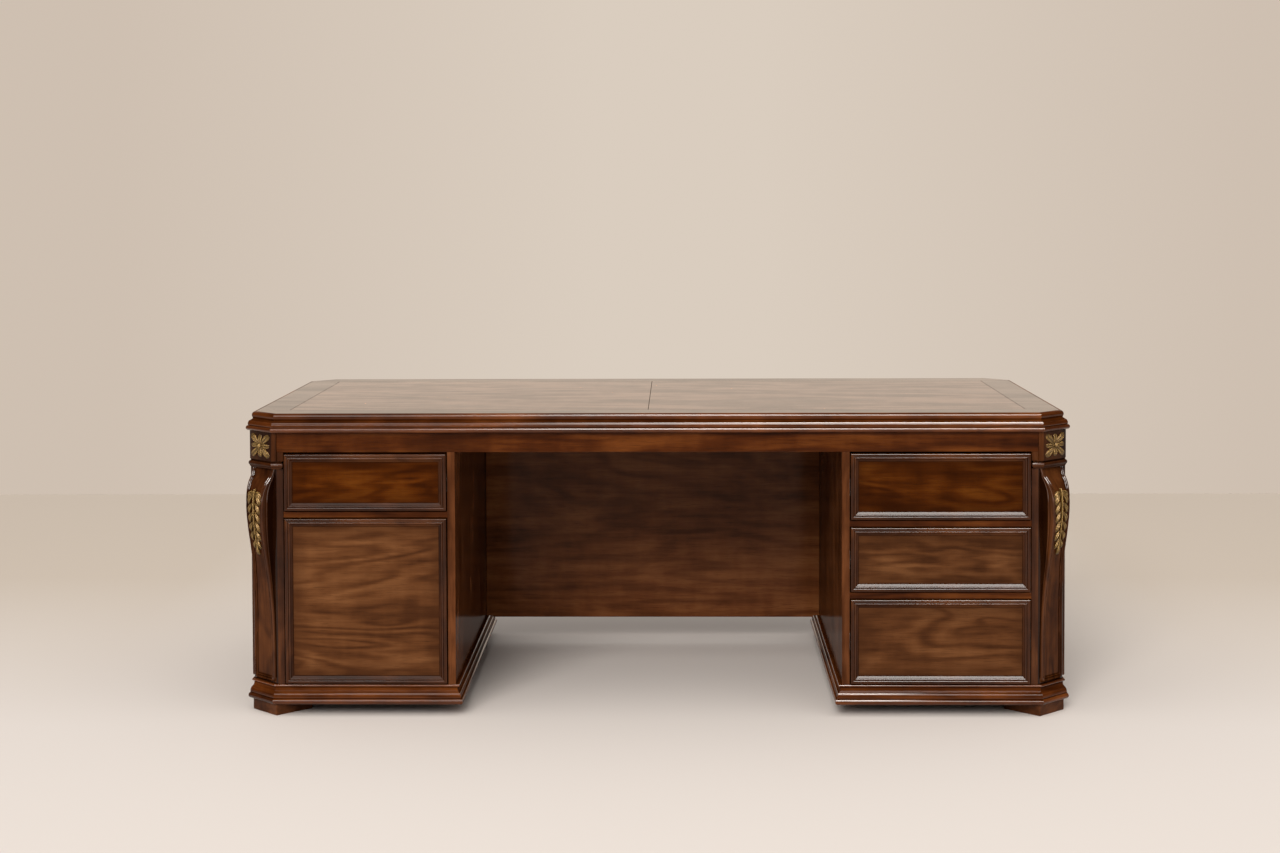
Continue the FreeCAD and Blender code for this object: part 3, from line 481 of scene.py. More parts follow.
CORBEL_BOTTOM = BASE_TOP + 0.003
CORBEL_LENGTH = POST_TOP - CORBEL_BOTTOM
CORBEL_DROPS = np.array([0, 22, 36, 55, 80, 106, 150, 200, 240, 285, 335, 387, 460, 533.5, 539.5]) / 1000
CORBEL_OUTS = np.array([5, 12, 21, 29, 32.6, 33.4, 30.5, 23.5, 17.5, 12.8, 9.2, 7, 6.6, 6.6, 3]) / 1000
CORBEL_HALVES = np.array([48, 45, 42, 38.5, 36.5, 35.5, 33.5, 32.5, 33.5, 37, 40.5, 43, 44.6, 45, 45]) / 1000
CORBEL_ROWS, CORBEL_COLUMNS = 190, 81
CORBEL_BACK, LEAST_OUT = -0.002, 0.0004
PANEL_SINK = 0.0032
ROUND_TOE, TOE_FALL = 0.016, 4
OUTER_BEAD, INNER_BEAD, INNER_HEIGHT = (0.0040, 0.0040), (0.0110, 0.0024), 0.8
OUTER_GROOVE, INNER_GROOVE = (0.0072, 0.0090), (0.0130, 0.0148)
SIDE_REACH, SIDE_SWELL = 0.016, 0.0016
SIDE_BEAD = (0.775, 0.225)
SIDE_PLACES = np.array([0.06, 0.20, 0.38, 0.54, 0.57, 0.62, 0.69, 0.775, 0.86, 0.93, 0.98, 1.0])
SHINE_END, SHINE_FADE = 0.09, 0.06
LEAST_SHINE, OUTER_SHINE = 0.08, 0.2


def along_corbel(stations, drop):
    """A smooth value down the corbel: a cubic through its stations. Slopes come from the neighbours, and are
    held to twice the flatter side's slope, so that the curve never swings past a station."""
    sides = np.diff(stations) / np.diff(CORBEL_DROPS)
    above, below = np.append(sides[0], sides), np.append(sides, sides[-1])
    steepest = 2 * np.minimum(np.abs(above), np.abs(below)) * (above * below > 0)
    slopes = np.clip(np.gradient(stations, CORBEL_DROPS), -steepest, steepest)
    index = np.clip(np.searchsorted(CORBEL_DROPS, drop) - 1, 0, len(CORBEL_DROPS) - 2)
    span = CORBEL_DROPS[index + 1] - CORBEL_DROPS[index]
    share = (drop - CORBEL_DROPS[index]) / span
    start, end = stations[index], stations[index + 1]
    rise = (3 - 2 * share) * share ** 2
    bend = share * (1 - share) * span * ((1 - share) * slopes[index] - share * slopes[index + 1])
    return start + (end - start) * rise + bend


def corbel_out(drop):
    """How far the corbel's front stands out from the post."""
    return along_corbel(CORBEL_OUTS, drop)


def half_round(place, middle, half):
    """Height of a half round of height 1 at a place across it, and 0 beside it."""
    return np.sqrt(np.clip(1 - ((place - middle) / half) ** 2, 0, 1))


def edge_beads(depth):
    """Height of the twin beads over the sunk panel, at a depth in from the edge."""
    inner = INNER_HEIGHT * half_round(depth, *INNER_BEAD)
    return PANEL_SINK * np.maximum(half_round(depth, *OUTER_BEAD), inner)


def to_cants(across, up, out):
    """Carries places on a canted face (across, up, out) to all four corners. The first axis of the result is
    the corner."""
    normal = CORNER_SIGNS / math.sqrt(2)
    along = np.stack([-normal[:, 1], normal[:, 0]], 1)
    middle = CORNER_SIGNS * [FRAME_X, FRAME_Y] - CORNER_SIGNS * POST_CUT / 2
    shape = (4,) + (1,) * np.ndim(across)
    places = [middle[:, axis].reshape(shape) + along[:, axis].reshape(shape) * across
              + normal[:, axis].reshape(shape) * out for axis in (0, 1)]
    return np.stack(places + [np.broadcast_to(up, places[0].shape)], -1)


def closed_tubes(points, marks):
    """Shells from an array of tubes (tube, row, place round the row), closed round each row, with both ends
    drawn to a point. Every tube's faces are turned outwards by build_piece."""
    rows, around = points.shape[1:3]
    row, place = np.meshgrid(np.arange(rows + 1), np.arange(around), indexing="ij")
    first = row * around + place
    beside = row * around + (place + 1) % around
    faces = np.stack([first, beside, beside + around, first + around], 2).reshape(-1, 4)
    uv = np.zeros((len(faces), 4, 2))

    def capped(tube):
        ends = np.repeat(tube[[0, -1]].mean(1)[:, None], around, 1)
        return np.concatenate([ends[:1], tube, ends[1:]]).reshape(-1, tube.shape[2])

    return [(capped(tube), faces, uv, capped(tube_marks)) for tube, tube_marks in zip(points, marks)]


def corbel_shells():
    """Front of a corbel on a grid of drop and width: out(drop) less the sunk panel, plus the beads. The
    distance to the edge is that to a strip with a rounded lower end. Each side has a flat strip and a
    half-round bead, and then runs back into the post. Beads on the side that faces out of the desk's front
    or back carry a painted highlight at the shoulder, where light glints on them: lighter colour and more
    polish, fading to dull within 9 cm. The grooves and the sides are darkened, partly glaze and mostly
    painted shade, darkest against the post."""
    drop = np.linspace(0, CORBEL_LENGTH, CORBEL_ROWS)[:, None]
    half = along_corbel(CORBEL_HALVES, drop)
    crowded = np.sin(np.linspace(-math.pi / 2, math.pi / 2, CORBEL_COLUMNS))[None]
    share = 0.5 * crowded + 0.5 * np.linspace(-1, 1, CORBEL_COLUMNS)[None]
    across = half * share
    from_side = half - np.abs(across)
    from_toe = CORBEL_LENGTH - drop
    in_round = (from_side < ROUND_TOE) & (from_toe < ROUND_TOE)
    rounded = ROUND_TOE - np.hypot(ROUND_TOE - from_side, ROUND_TOE - from_toe)
    depth = np.where(in_round, rounded, np.minimum(from_side, from_toe))
    bead = edge_beads(np.maximum(depth, 0))
    front = corbel_out(drop) - PANEL_SINK + bead + np.minimum(depth, 0) * TOE_FALL
    front = np.maximum(front, LEAST_OUT)
    back = np.full((len(drop), 1), CORBEL_BACK)
    reach = np.minimum(SIDE_REACH, 0.5 * front[:, :1])
    swell = half_round(SIDE_PLACES, *SIDE_BEAD)
    side_out = front[:, :1] - reach * SIDE_PLACES
    side_edge = half + SIDE_SWELL * swell * reach / SIDE_REACH
    out = np.concatenate([back, side_out[:, ::-1], front, side_out, back], 1)
    across = np.concatenate([-half, -side_edge[:, ::-1], across, side_edge, half], 1)
    up = np.broadcast_to(POST_TOP - drop, out.shape)

    def with_sides(middle, side, behind):
        side = np.broadcast_to(side, (len(drop), len(SIDE_PLACES)))
        ends = np.full((len(drop), 1), behind)
        return np.concatenate([ends, side[:, ::-1], middle, side, ends], 1)

    def crest(height):
        return np.clip(2.2 * height - 0.5, 0, 1)

    def between(start, end):
        return (depth > start) & (depth < end)

    # Painted highlight: lighter colour and more polish only where light glints, at the shoulder, mostly on
    # the beads at the front or back edge.
    shoulder_shine = np.clip((SHINE_END - drop) / SHINE_FADE, LEAST_SHINE, 1)
    inner = CORNER_SIGNS.prod(1)[:, None, None] * across > 0
    arris = with_sides(crest(bead / PANEL_SINK), crest(swell), 0.0)
    arris = shoulder_shine * arris * np.where(inner, 1.0, OUTER_SHINE)
    # Painted shade in the grooves and on the sides, darkest at the back against the post.
    groove = between(*OUTER_GROOVE) | between(*INNER_GROOVE)
    side_shade = np.where(np.abs(SIDE_PLACES - 0.55) < 0.04, 0.7, 0.12)
    side_shade = np.where(SIDE_PLACES > 0.96, 1.0, side_shade)
    hollow = with_sides(np.where(groove, 0.9, 0.0), side_shade, 1.0)
    marks = np.stack([arris, np.broadcast_to(hollow, arris.shape)], 3)
    return closed_tubes(to_cants(across, up, out), marks)


carved_wood = sawn_wood("carved_wood", "z", MOULDED_WALNUT, flame=0.06, lacquer=0.10, haze=0.06, rough=0.38,
                        depth=1.9, burnished=1.0)
build_piece("carved_corbels", corbel_shells(), carved_wood, "desk", ["corbels"], crease=40)


# Acanthus leaves: a hanging spray on each corbel. Pairs of spoon-shaped leaflets point down and outwards
# from a ridged stem, with a curled pair at the head and narrow ones at the tip. Carved and gilded. The
# hollows and undersides are darkened, partly glaze and partly painted shade, and the heights lightened,
# partly rubbing and partly a painted highlight.

GOLD_LOW, GOLD_HIGH = (0.084, 0.044, 0.008, 1), (0.164, 0.090, 0.020, 1)
GOLD_RUB_HIGHLIGHT, GOLD_GLAZE_SHADE = (0.47, 0.31, 0.115, 1), (0.022, 0.011, 0.004, 1)
LEAF_HEAD = POST_TOP - 0.054
LEAF_TIP = POST_TOP - 0.219
LEAF_LIFT = 0.0014
SOLE = 0.0012
STATIONS = 22
LOOP = np.linspace(0, 2 * math.pi, 29)[None, None, :-1]


def gilding():
    """Gold leaf over brown ground: lighter on the heights (partly rubbing, partly a painted highlight),
    darker in the hollows and undersides (partly brown glaze, partly painted shade), fine grit.
    """
    material, tree, shader = new_finish("aged_gilding")
    place = object_place(tree)
    cloud = stretched_noise(tree, place, (1, 1, 1), 160.0, 4.0)
    gold = blended(tree, spread(tree, cloud, 0.3, 0.7), GOLD_LOW, GOLD_HIGH)
    gold = blended(tree, arithmetic(tree, "MULTIPLY", mesh_mark(tree, "arris"), 0.7), gold, GOLD_RUB_HIGHLIGHT)
    glaze_and_shade = arithmetic(tree, "MULTIPLY", mesh_mark(tree, "hollow"), 0.95)
    wear_and_shade = arithmetic(tree, "ADD", glaze_and_shade, spread(tree, cloud, 0.62, 0.8, 0, 0.5), limit=True)
    grit = stretched_noise(tree, place, (1, 1, 1), 900.0, 2.0)
    bump = add_shader(tree, "ShaderNodeBump", {"Strength": 0.2, "Distance": 0.0003, "Height": grit})
    connect(tree, shader, {"Base Color": blended(tree, wear_and_shade, gold, GOLD_GLAZE_SHADE), "Normal": bump.outputs[0],
                           "Metallic": spread(tree, wear_and_shade, 0, 1, 0.4, 0.05),
                           "Roughness": spread(tree, cloud, 0.3, 0.7, 0.42, 0.58)})
    return material


def leaflets(root_across, root_up, heading, length, half_width, rise, curl, fork=1.0):
    """Spoon-shaped leaflets. Along a leaflet, share a runs from 0 to 1, and its half width is a ** 0.55
    times the root of 1 - a ** 6, so that the end is round. Across it, an angle runs round a closed loop: a
    dome above with a groove along the middle, and a flat sole below. Curl bends the leaflet sideways.
    Heading is from straight up."""
    a = np.linspace(0.015, 0.985, STATIONS)[None, :, None]
    columns = (root_across, root_up, heading, length, half_width, rise, curl)
    root_across, root_up, heading, length, half_width, rise, curl = (
        np.asarray(column, float)[:, None, None] for column in columns)
    width = half_width * a ** 0.55 * np.sqrt(1 - a ** 6) * np.cos(LOOP)
    bent = heading + curl * a
    across = root_across + length * a * np.sin(bent) + width * np.cos(bent)
    up = root_up + length * a * np.cos(bent) - width * np.sin(bent)
    crown = (0.30 + 0.70 * np.sin(math.pi * a ** 1.4)) * np.sqrt(1 - a ** 8)
    dome = np.sqrt(np.clip(np.sin(LOOP), 0, 1))
    groove = fork * np.exp(-(np.cos(LOOP) / 0.30) ** 2) * np.sin(math.pi * a) ** 0.7
    height = crown * dome * (1 - 0.62 * groove)
    out = np.where(np.sin(LOOP) >= 0, rise * height, SOLE * np.sin(LOOP))
    # Painted highlight on the crowns and painted shade on the low edges, the sole and the groove, each
    # partly rubbing and glaze.
    arris = np.clip(1.7 * height - 0.95, 0, 1) * (np.sin(LOOP) > 0)
    hollow = np.clip(0.62 - 1.15 * height, 0, 1) + 0.30 * groove * (np.sin(LOOP) > 0)
    marks = [np.broadcast_to(mark, across.shape) for mark in (arris, np.clip(hollow, 0, 1))]
    return across, up, np.broadcast_to(out, across.shape), np.stack(marks, 3)


def on_corners(across, up, out, marks):
    """Shells of tubes that lie on the canted faces, at all four corners."""
    places = to_cants(across, up, out)
    return closed_tubes(places.reshape((-1,) + places.shape[2:]), np.tile(marks, (4, 1, 1, 1)))


def mirrored_pairs(*columns):
    """Left and right leaflets from one side's columns, in the order of leaflets. Heading is from straight
    down here, and across, heading and curl change sign with the side."""
    side = np.array([[-1.0], [1.0]])
    columns = [np.atleast_1d(column)[None] * np.ones((2, 1)) for column in np.broadcast_arrays(*columns)]
    columns[0] = columns[0] * side
    columns[2] = math.pi - columns[2] * side
    columns[6] = -columns[6] * side
    return [column.ravel() for column in columns]


def leaf_shells():
    """Five hanging pairs, a curled pair at the head, two narrow pairs at the tip, and the stem's ridge, laid
    on the sunk panel of the corbel: out is corbel_out at that height."""
    pair = np.arange(5)
    hanging = mirrored_pairs(0.0015, LEAF_HEAD - 0.010 - 0.0232 * pair, np.radians(66 - 2.0 * pair),
                             0.0370 - 0.0014 * pair, 0.0082 - 0.0003 * pair, 0.0056, np.radians(-26))
    head = mirrored_pairs(0.002, LEAF_HEAD - 0.009, np.radians(112), 0.0290, 0.0072, 0.0060, np.radians(-46))
    tip = mirrored_pairs(np.array([0.001, 0.0]), LEAF_TIP + np.array([0.042, 0.036]),
                         np.radians(np.array([36, 4])), np.array([0.030, 0.037]),
                         np.array([0.0056, 0.0052]), 0.0044, np.radians(-10))
    across, up, out, marks = leaflets(*(np.concatenate(group) for group in zip(hanging, head, tip)))
    along = np.linspace(0, 1, STATIONS)[None, :, None]
    lift = np.sin(LOOP)
    ridge = (0.0025 - 0.0013 * along) * np.cos(LOOP)
    stem_up = np.broadcast_to(LEAF_HEAD + 0.001 + (LEAF_TIP + 0.016 - LEAF_HEAD) * along, ridge.shape)
    stem_out = np.where(lift > 0, (0.0056 - 0.0018 * along) * np.abs(lift) ** 0.7, SOLE * lift)
    # The stem's crest is lightened and its underside and flanks darkened in the same way.
    stem_marks = (np.clip(lift * 1.6 - 0.9, 0, 1), np.clip(0.5 - lift, 0, 0.6))
    stem_marks = np.stack([np.broadcast_to(mark, ridge.shape) for mark in stem_marks], 3)
    across = np.concatenate([across, ridge])
    up = np.concatenate([up, stem_up])
    out = np.concatenate([out, stem_out]) + corbel_out(POST_TOP - up) - PANEL_SINK + LEAF_LIFT
    return on_corners(across, up, out, np.concatenate([marks, stem_marks]))


aged_gilding = gilding()
build_piece("gilt_leaves", leaf_shells(), aged_gilding, "desk", ["acanthus_leaves"], crease=50)


# Rosettes: a square flower in the middle of each block, four broad petals to the corners, four narrow ones
# between them and a small button. Carved in low relief and gilded like the leaves.

ROSETTE_STRETCH = 1.37
BUTTON_RADIUS, BUTTON_FOOT, BUTTON_RISE = 0.0058, 0.0026, 0.0046


def rosette_shells():
    """Petals are leaflets from the middle, broad on the diagonals and narrow between, stretched along the
    block. The button is a dome: at angle t up from the rim, its radius falls with cos t and its height grows
    with sin t."""
    heading = np.arange(8) * math.pi / 4
    length = np.tile([0.0285, 0.0390], 4)
    half_width = np.tile([0.0072, 0.0094], 4)
    rise = np.tile([0.0040, 0.0044], 4)
    middle = 0.5 * (TOP_UNDER + BLOCK_UNDER)
    still = np.zeros(8)
    across, up, out, marks = leaflets(still, still + middle, heading, length, half_width, rise, still, 1.15)
    lift = np.linspace(0, math.pi / 2 * 0.97, STATIONS)[None, :, None]
    radius = BUTTON_RADIUS * np.cos(lift)
    heights = np.broadcast_to(np.sin(lift), (1, STATIONS, LOOP.size))
    # The button's top is lightened and its foot darkened in the same way.
    button_marks = np.stack([np.clip(heights * 1.6 - 0.7, 0, 1), np.clip(0.7 - 2 * heights, 0, 1)], 3)
    across = np.concatenate([across * ROSETTE_STRETCH, radius * np.cos(LOOP)])
    up = np.concatenate([up, middle + radius * np.sin(LOOP)])
    out = np.concatenate([out, BUTTON_FOOT + BUTTON_RISE * heights]) + BLOCK_OUT
    return on_corners(across, up, out, np.concatenate([marks, button_marks]))


build_piece("gilt_rosettes", rosette_shells(), aged_gilding, "desk", ["rosettes"], crease=50)


# Top: two figured veneer fields with a seam between them, crossbanded borders and thin dark joints, all laid
# on the core and finished with a deep rubbed lacquer.

TOP_WALNUT = ((0.030, 0.0110, 0.0050), (0.090, 0.0330, 0.0140), (0.160, 0.0640, 0.0290))
BAND_WALNUT = (np.array(TOP_WALNUT) * 0.45).tolist()
field_veneer = sawn_wood("field_veneer", "x", TOP_WALNUT, flame=0.22, flame_size=2.6, lacquer=1.0,
                         haze=0.05, rough=0.3)
band_veneer = sawn_wood("band_veneer", "x", BAND_WALNUT, flame=0.10, flame_size=3.0, lacquer=1.0,
                        haze=0.05, rough=0.3)
finish_nodes(field_veneer, "top_field_left", "top_field_right")
finish_nodes(band_veneer, "top_border_bands")


# Edge of the top: a bead, a waist, a flare, a band and a torus, run on eight sticks of solid wood. They are
# mitred at the cants and glued round the core, flush with the veneer.

TOP_LEVEL = 0.760
CANT_X, CANT_Y = LIP_X - CANT, LIP_Y - CANT
top_plan = [(-CANT_X, -LIP_Y), (CANT_X, -LIP_Y), (LIP_X, -CANT_Y), (LIP_X, CANT_Y),
            (CANT_X, LIP_Y), (-CANT_X, LIP_Y), (-LIP_X, CANT_Y), (-LIP_X, -CANT_Y)]
top_section = section_points(
    (26, 0), (24, 0), ((17.43, -2.72), (16, -14)), (17, -16), ((14.5, -20.5), (8.5, -22.5)),
    ((5.6, -27), (5, -33)), (6.5, -34.5), ((0, -41), (5, -47)), (26, -47))
build_piece("top_edge_sticks", [mitred_ring(top_plan, top_section, (0, 0, TOP_LEVEL))], edge_stick, "desk",
            ["top_edge_moulding"])


# Drawer fronts and door: a veneered panel in a mitred frame of four moulded sticks, glued on the panel. The
# panels differ in stain and figure, and are darker towards the frame.

FRONT_TONES = {"orange": ((0.036, 0.0075, 0.0006), (0.088, 0.0205, 0.0018), (0.145, 0.0410, 0.0045)),
               "brown": ((0.053, 0.0180, 0.0064), (0.110, 0.0400, 0.0135), (0.172, 0.0690, 0.0250))}
FRONTS = (("left_drawer", "orange", 0.78, 0.0), ("door", "brown", 0.86, 1.7),
          ("right_upper_drawer", "orange", 0.62, 3.1), ("right_middle_drawer", "brown", 0.72, 4.6),
          ("right_lower_drawer", "brown", 0.78, 6.2))
DRAWERS = [front[0] for front in FRONTS if front[0] != "door"]
FACE_FRONT = np.array([(1, 0, 0), (0, 0, 1), (0, -1, 0)])
FACE_BACK = np.array([(-1, 0, 0), (0, 0, 1), (0, 1, 0)])
FACE_LEFT = np.array([(0, -1, 0), (0, 0, 1), (-1, 0, 0)])
FACE_RIGHT = np.array([(0, 1, 0), (0, 0, 1), (1, 0, 0)])
frame_stick = sawn_wood("frame_stick", "stick", MOULDED_WALNUT, flame=0.05, lacquer=0.34, haze=0.04,
                        rough=0.34, depth=1.5, burnished=0.6)
frame_section = section_points(
    (0, 0), (0, 6), ((0.9, 8.1), (3, 9)), (5, 9), ((7.5, 8.2), (8.5, 6)), ((11, 7.6), (13.5, 6)),
    ((16.6, 3.4), (19.6, 1.5)), (20, 1.5), (20, 0))


def planted_frame(low, high, facing):
    """A ring of the frame's section round the rectangle that a solid's box shows on its facing side,
    standing on the plane furthest back from that side."""
    ends = np.stack([facing @ np.array(low), facing @ np.array(high)])
    left, bottom, behind = ends.min(0)
    right, top = ends.max(0)[:2]
    plan = [(left, bottom), (right, bottom), (right, top), (left, top)]
    return mitred_ring(plan, frame_section, facing[2] * behind, facing)


for body, tone, stain, shift in FRONTS:
    low, high = (np.array(end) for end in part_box(body + "_frame"))
    planted = planted_frame(low, high, FACE_FRONT)
    build_piece(body + "_frame_sticks", [planted], frame_stick, body, [body + "_frame"])
    middle = (0.5 * (low + high))[[0, 2]].tolist()
    half = (0.5 * (high - low))[[0, 2]].tolist()
    tones = (np.array(FRONT_TONES[tone]) * stain).tolist()
    veneer = sawn_wood(body + "_veneer", "x", tones, flame=0.26, flame_size=5.5, shift=(shift, shift, 0),
                       lacquer=0.5, haze=0.12, depth=1.16, panel=(middle, half))
    finish_nodes(veneer, "door_panel" if body == "door" else body + "_front")


# Still frames: the same moulded sticks as on the fronts, one frame on each outer side, on each pedestal's
# back and on the back of the modesty panel. Mitred at the corners and glued on the boards.

FRAME_THICK = 0.009
FRAME_LOW, FRAME_HIGH = 0.082, 0.659
SIDE_END = FRAME_Y - POST_SIZE - 0.003
BACK_SPANS = ((-0.931, -0.526), (0.485, 0.931))
MODESTY_BACK = 0.384
still_frames = []
for outwards, facing in ((-1, FACE_LEFT), (1, FACE_RIGHT)):
    still_frames.append(planted_frame((outwards * FRAME_X, -SIDE_END, FRAME_LOW),
                                      (outwards * (FRAME_X + FRAME_THICK), SIDE_END, FRAME_HIGH), facing))
for left, right in BACK_SPANS:
    still_frames.append(planted_frame((left, FRAME_Y, FRAME_LOW), (right, FRAME_Y + FRAME_THICK, FRAME_HIGH),
                                      FACE_BACK))
still_frames.append(planted_frame((-0.444, MODESTY_BACK, 0.135), (0.403, MODESTY_BACK + FRAME_THICK, 0.6035),
                                  FACE_BACK))
build_piece("still_frame_sticks", still_frames, frame_stick, "desk", ["panel_frames"])


# Drawer boxes: beech sides, inner front and back with a thin bottom let in, sanded and sealed with clear
# lacquer. The inner front carries the drawer's front.

BEECH = ((0.30, 0.185, 0.095), (0.40, 0.265, 0.150), (0.48, 0.335, 0.205))
sealed_beech = sawn_wood("sealed_beech", "y", BEECH, flame=0.08, lacquer=0.25, haze=0.25, rough=0.5)
for body in DRAWERS:
    finish_nodes(sealed_beech, body + "_box")


# Slides and brackets: the drawers' telescopic slides, the angle brackets under the top with their screws,
# and the door's strike plate. Zinc plated steel, mostly folded sheet, with rolling lines and a dull gloss.

DULLED = 0.72


def plated_metal(name, colour, rough, lines):
    """Plated or turned metal: noise drawn out along the rolling gives lines, slow noise gives clouds."""
    material, tree, shader = new_finish(name)
    place = object_place(tree)
    rolled = stretched_noise(tree, place, (1, 0.02, 1), 700.0, 3.0)
    cloud = spread(tree, stretched_noise(tree, place, (1, 1, 1), 35.0, 4.0), 0.3, 0.7)
    dull = (*(DULLED * channel for channel in colour), 1)
    bump = add_shader(tree, "ShaderNodeBump", {"Strength": lines, "Distance": 0.0001, "Height": rolled})
    connect(tree, shader, {"Base Color": blended(tree, cloud, dull, (*colour, 1)), "Metallic": 1.0,
                           "Roughness": spread(tree, rolled, 0.3, 0.7, rough - 0.07, rough + 0.07),
                           "Normal": bump.outputs[0]})
    return material


zinc_sheet = plated_metal("zinc_sheet", (0.36, 0.37, 0.38), 0.42, 0.2)
finish_nodes(zinc_sheet, "slide_channels", "top_brackets", "bracket_screws", "door_strike_plate")
for body in DRAWERS:
    finish_nodes(zinc_sheet, body + "_runners", body + "_middle_slides")


# Hinge plates and catch: brass pivot plates and sockets let flush into the wood at the door's left edge, and
# a moulded catch of dark plastic that holds a magnet.

pivot_brass = plated_metal("pivot_brass", (0.66, 0.47, 0.18), 0.3, 0.1)
finish_nodes(pivot_brass, "hinge_pin_plates", "door_hinge_sockets")
CATCH_DARK, CATCH_LIGHT = (0.016, 0.010, 0.007, 1), (0.028, 0.018, 0.012, 1)
catch_plastic, catch_tree, catch_shader = new_finish("moulded_catch")
catch_texture = stretched_noise(catch_tree, object_place(catch_tree), (1, 1, 1), 1200.0, 2.0)
catch_grain = {"Strength": 0.3, "Distance": 0.0002, "Height": catch_texture}
catch_bump = add_shader(catch_tree, "ShaderNodeBump", catch_grain).outputs[0]
connect(catch_tree, catch_shader, {"Base Color": blended(catch_tree, catch_texture, CATCH_DARK, CATCH_LIGHT),
                                   "Normal": catch_bump, "Roughness": 0.55})
finish_nodes(catch_plastic, "magnet_catch")


# Room: a plain pale floor that ends where the wall begins, with a painted falloff of light that darkens it
# towards the wall, away from the desk's middle; a pale surround, painted lighter behind the middle of the
# desk than at the sides, with panels of light that show only in reflections; and soft lamps. None of it is
# part of the desk.

WALL_Y, FLOOR_FRONT, FLOOR_SIDE = 3.35, -16, 14
FLOOR_LIT, FLOOR_SHADED = (0.680, 0.632, 0.602, 1), (0.565, 0.495, 0.428, 1)
LAMP_COLOUR = (1.0, 0.96, 0.91)
floor_mesh = bpy.data.meshes.new("floor")
floor_mesh.from_pydata([(-FLOOR_SIDE, FLOOR_FRONT, 0), (FLOOR_SIDE, FLOOR_FRONT, 0),
                        (FLOOR_SIDE, WALL_Y, 0), (-FLOOR_SIDE, WALL_Y, 0)], [], [(0, 1, 2, 3)])
floor = bpy.data.objects.new("floor", floor_mesh)
bpy.context.collection.objects.link(floor)
floor_finish, floor_tree, floor_shader = new_finish("pale_floor")
floor_places = add_shader(floor_tree, "ShaderNodeSeparateXYZ", {0: object_place(floor_tree)}).outputs
# Painted falloff of light: the floor darkens towards the wall, away from the desk's middle.
beside_desk = spread(floor_tree, arithmetic(floor_tree, "ABSOLUTE", floor_places[0]), 0.5, 1.6)
towards_wall = spread(floor_tree, floor_places[1], -0.6, 1.4)
floor_shade_share = arithmetic(floor_tree, "MULTIPLY", beside_desk, towards_wall)
connect(floor_tree, floor_shader, {"Base Color": blended(floor_tree, floor_shade_share, FLOOR_LIT, FLOOR_SHADED),
                                   "Roughness": 0.5, "Specular IOR Level": 0.0})
floor_mesh.materials.append(floor_finish)

scene = bpy.context.scene
world = bpy.data.worlds.new("room")
scene.world = world
world.use_nodes = True
sky = world.node_tree
sky.nodes.clear()
light_path = add_shader(sky, "ShaderNodeLightPath").outputs
heading = add_shader(sky, "ShaderNodeTexCoord").outputs["Generated"]
headings = add_shader(sky, "ShaderNodeSeparateXYZ", {0: heading}).outputs


def background(colour, strength=1.0):
    """Light of one colour from the surround."""
    return add_shader(sky, "ShaderNodeBackground", {"Color": colour, "Strength": strength}).outputs[0]


def ceiling_glow(low, high, left, right, glow):
    """Light of a soft-edged panel over the front, between two heights and two sides of a heading."""
    share = spread(sky, headings[1], 0.02, -0.12)
    for value, start, full in ((headings[2], low - 0.05, low + 0.05),
                               (headings[2], high + 0.03, high - 0.03),
                               (headings[0], left - 0.06, left + 0.06),
                               (headings[0], right + 0.06, right - 0.06)):
        share = arithmetic(sky, "MULTIPLY", share, spread(sky, value, start, full))
    return arithmetic(sky, "MULTIPLY", share, glow)


CEILING_PANELS = ((0.64, 0.985, -0.03, 0.26, 31.0), (0.75, 0.955, -0.45, -0.03, 3.0),
                  (0.44, 0.60, -0.25, 0.25, 12.0), (0.42, 0.72, -0.60, -0.26, 20.0),
                  (0.42, 0.72, 0.26, 0.60, 16.0))
MOST_BOUNCES = 2.5
glow = 0.0
for panel in CEILING_PANELS:
    glow = arithmetic(sky, "ADD", ceiling_glow(*panel), glow)
few_bounces = arithmetic(sky, "LESS_THAN", light_path["Ray Depth"], MOST_BOUNCES)
panels = background((1.0, 0.95, 0.90, 1), arithmetic(sky, "MULTIPLY", glow, few_bounces))
wall_share = spread(sky, headings[1], 0.80, 0.97)
mirrored = background(blended(sky, wall_share, (0.045, 0.040, 0.036, 1), (0.83, 0.690, 0.560, 1)))
mirrored = add_shader(sky, "ShaderNodeAddShader", {0: mirrored, 1: panels}).outputs[0]
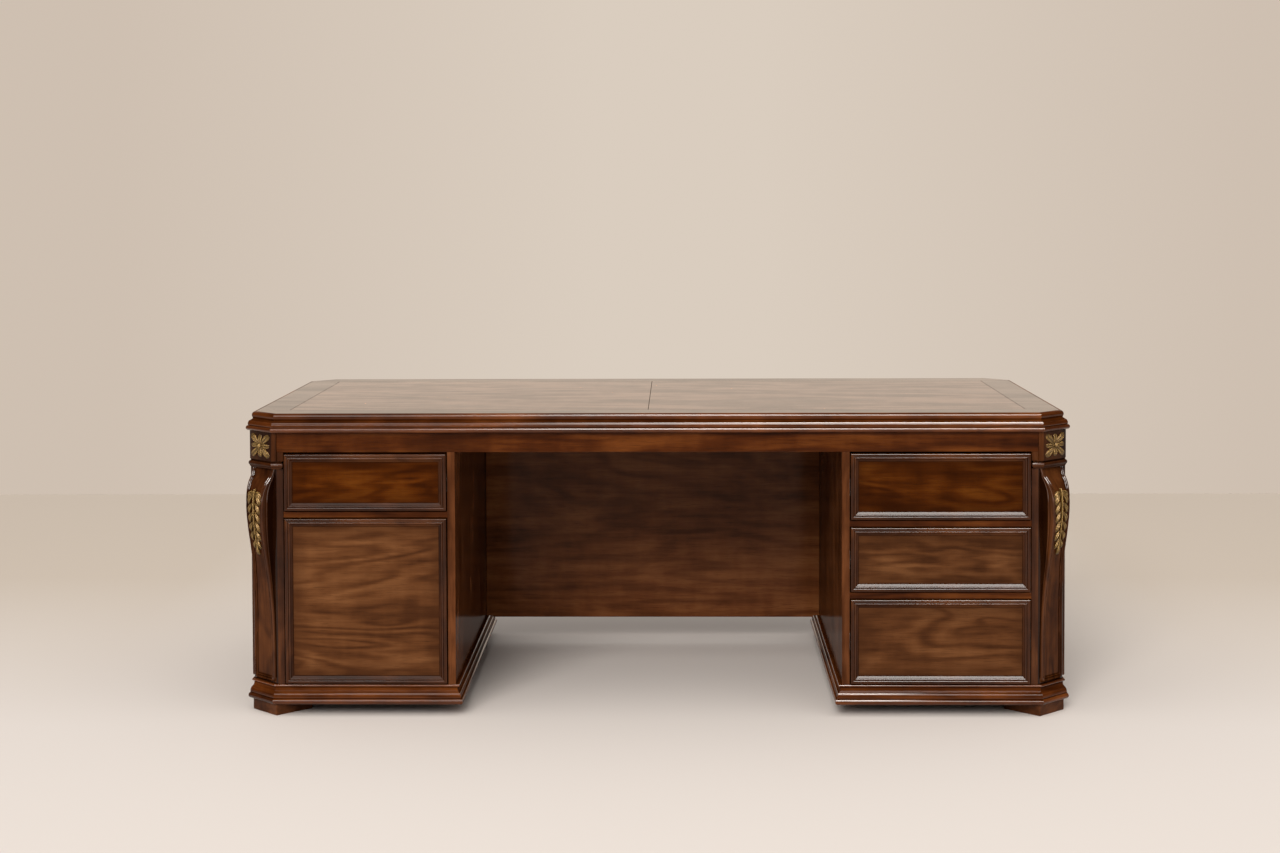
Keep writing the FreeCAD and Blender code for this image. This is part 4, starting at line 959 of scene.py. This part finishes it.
# Painted falloff of light: the surround seen behind the desk is lighter in the middle than at the sides.
backdrop_shade_share = spread(sky, arithmetic(sky, "ABSOLUTE", headings[0]), 0.04, 0.26)
shown = background(blended(sky, backdrop_shade_share, (0.70, 0.61, 0.52, 1), (0.62, 0.525, 0.44, 1)))
lit = background((*LAMP_COLOUR, 1), 0.58)
glossy = arithmetic(sky, "ADD", light_path["Is Glossy Ray"], light_path["Is Transmission Ray"], limit=True)
room = add_shader(sky, "ShaderNodeMixShader", {0: glossy, 1: lit, 2: mirrored}).outputs[0]
room = add_shader(sky, "ShaderNodeMixShader", {0: light_path["Is Camera Ray"], 1: room, 2: shown}).outputs[0]
add_shader(sky, "ShaderNodeOutputWorld", {0: room})


def soft_lamp(name, kind, place, aim, power):
    """A lamp that faces a point. Its softness is set for its kind afterwards."""
    lamp = bpy.data.lights.new(name, kind)
    lamp.energy = power
    lamp.color = LAMP_COLOUR
    holder = bpy.data.objects.new(name, lamp)
    bpy.context.collection.objects.link(holder)
    back = Vector(place) - Vector(aim)
    turn = back.to_track_quat("Z", "Y").to_matrix().to_4x4()
    turn.translation = place
    holder.matrix_world = turn
    return holder


ceiling_lamp = soft_lamp("ceiling_lamp", "AREA", (0.0, -2.4, 4.2), (0.0, -2.4, 0.0), 75)
ceiling_lamp.data.shape = "RECTANGLE"
ceiling_lamp.data.size, ceiling_lamp.data.size_y = 6.0, 4.0
front_light = soft_lamp("front_light", "SUN", (-1.6, -6.3, 4.1), (-0.1, 0.0, 0.2), 2.6)
front_light.data.angle = math.radians(30)
front_light.visible_glossy = False

camera_data = bpy.data.cameras.new("view")
camera = bpy.data.objects.new("view", camera_data)
bpy.context.collection.objects.link(camera)
pitch, yaw, roll = (math.radians(angle) for angle in (2.123, -1.050, -0.199))
level = Matrix.Rotation(math.pi / 2 - pitch, 3, "X")
camera.matrix_world = (Matrix.Rotation(-yaw, 3, "Z") @ level @ Matrix.Rotation(roll, 3, "Z")).to_4x4()
camera.location = (0.0569, -5.7044, 1.3183)
camera_data.sensor_width = 36.0
camera_data.lens = 59.07
camera_data.shift_y = -0.1244
scene.camera = camera
scene.view_settings.view_transform = "Standard"
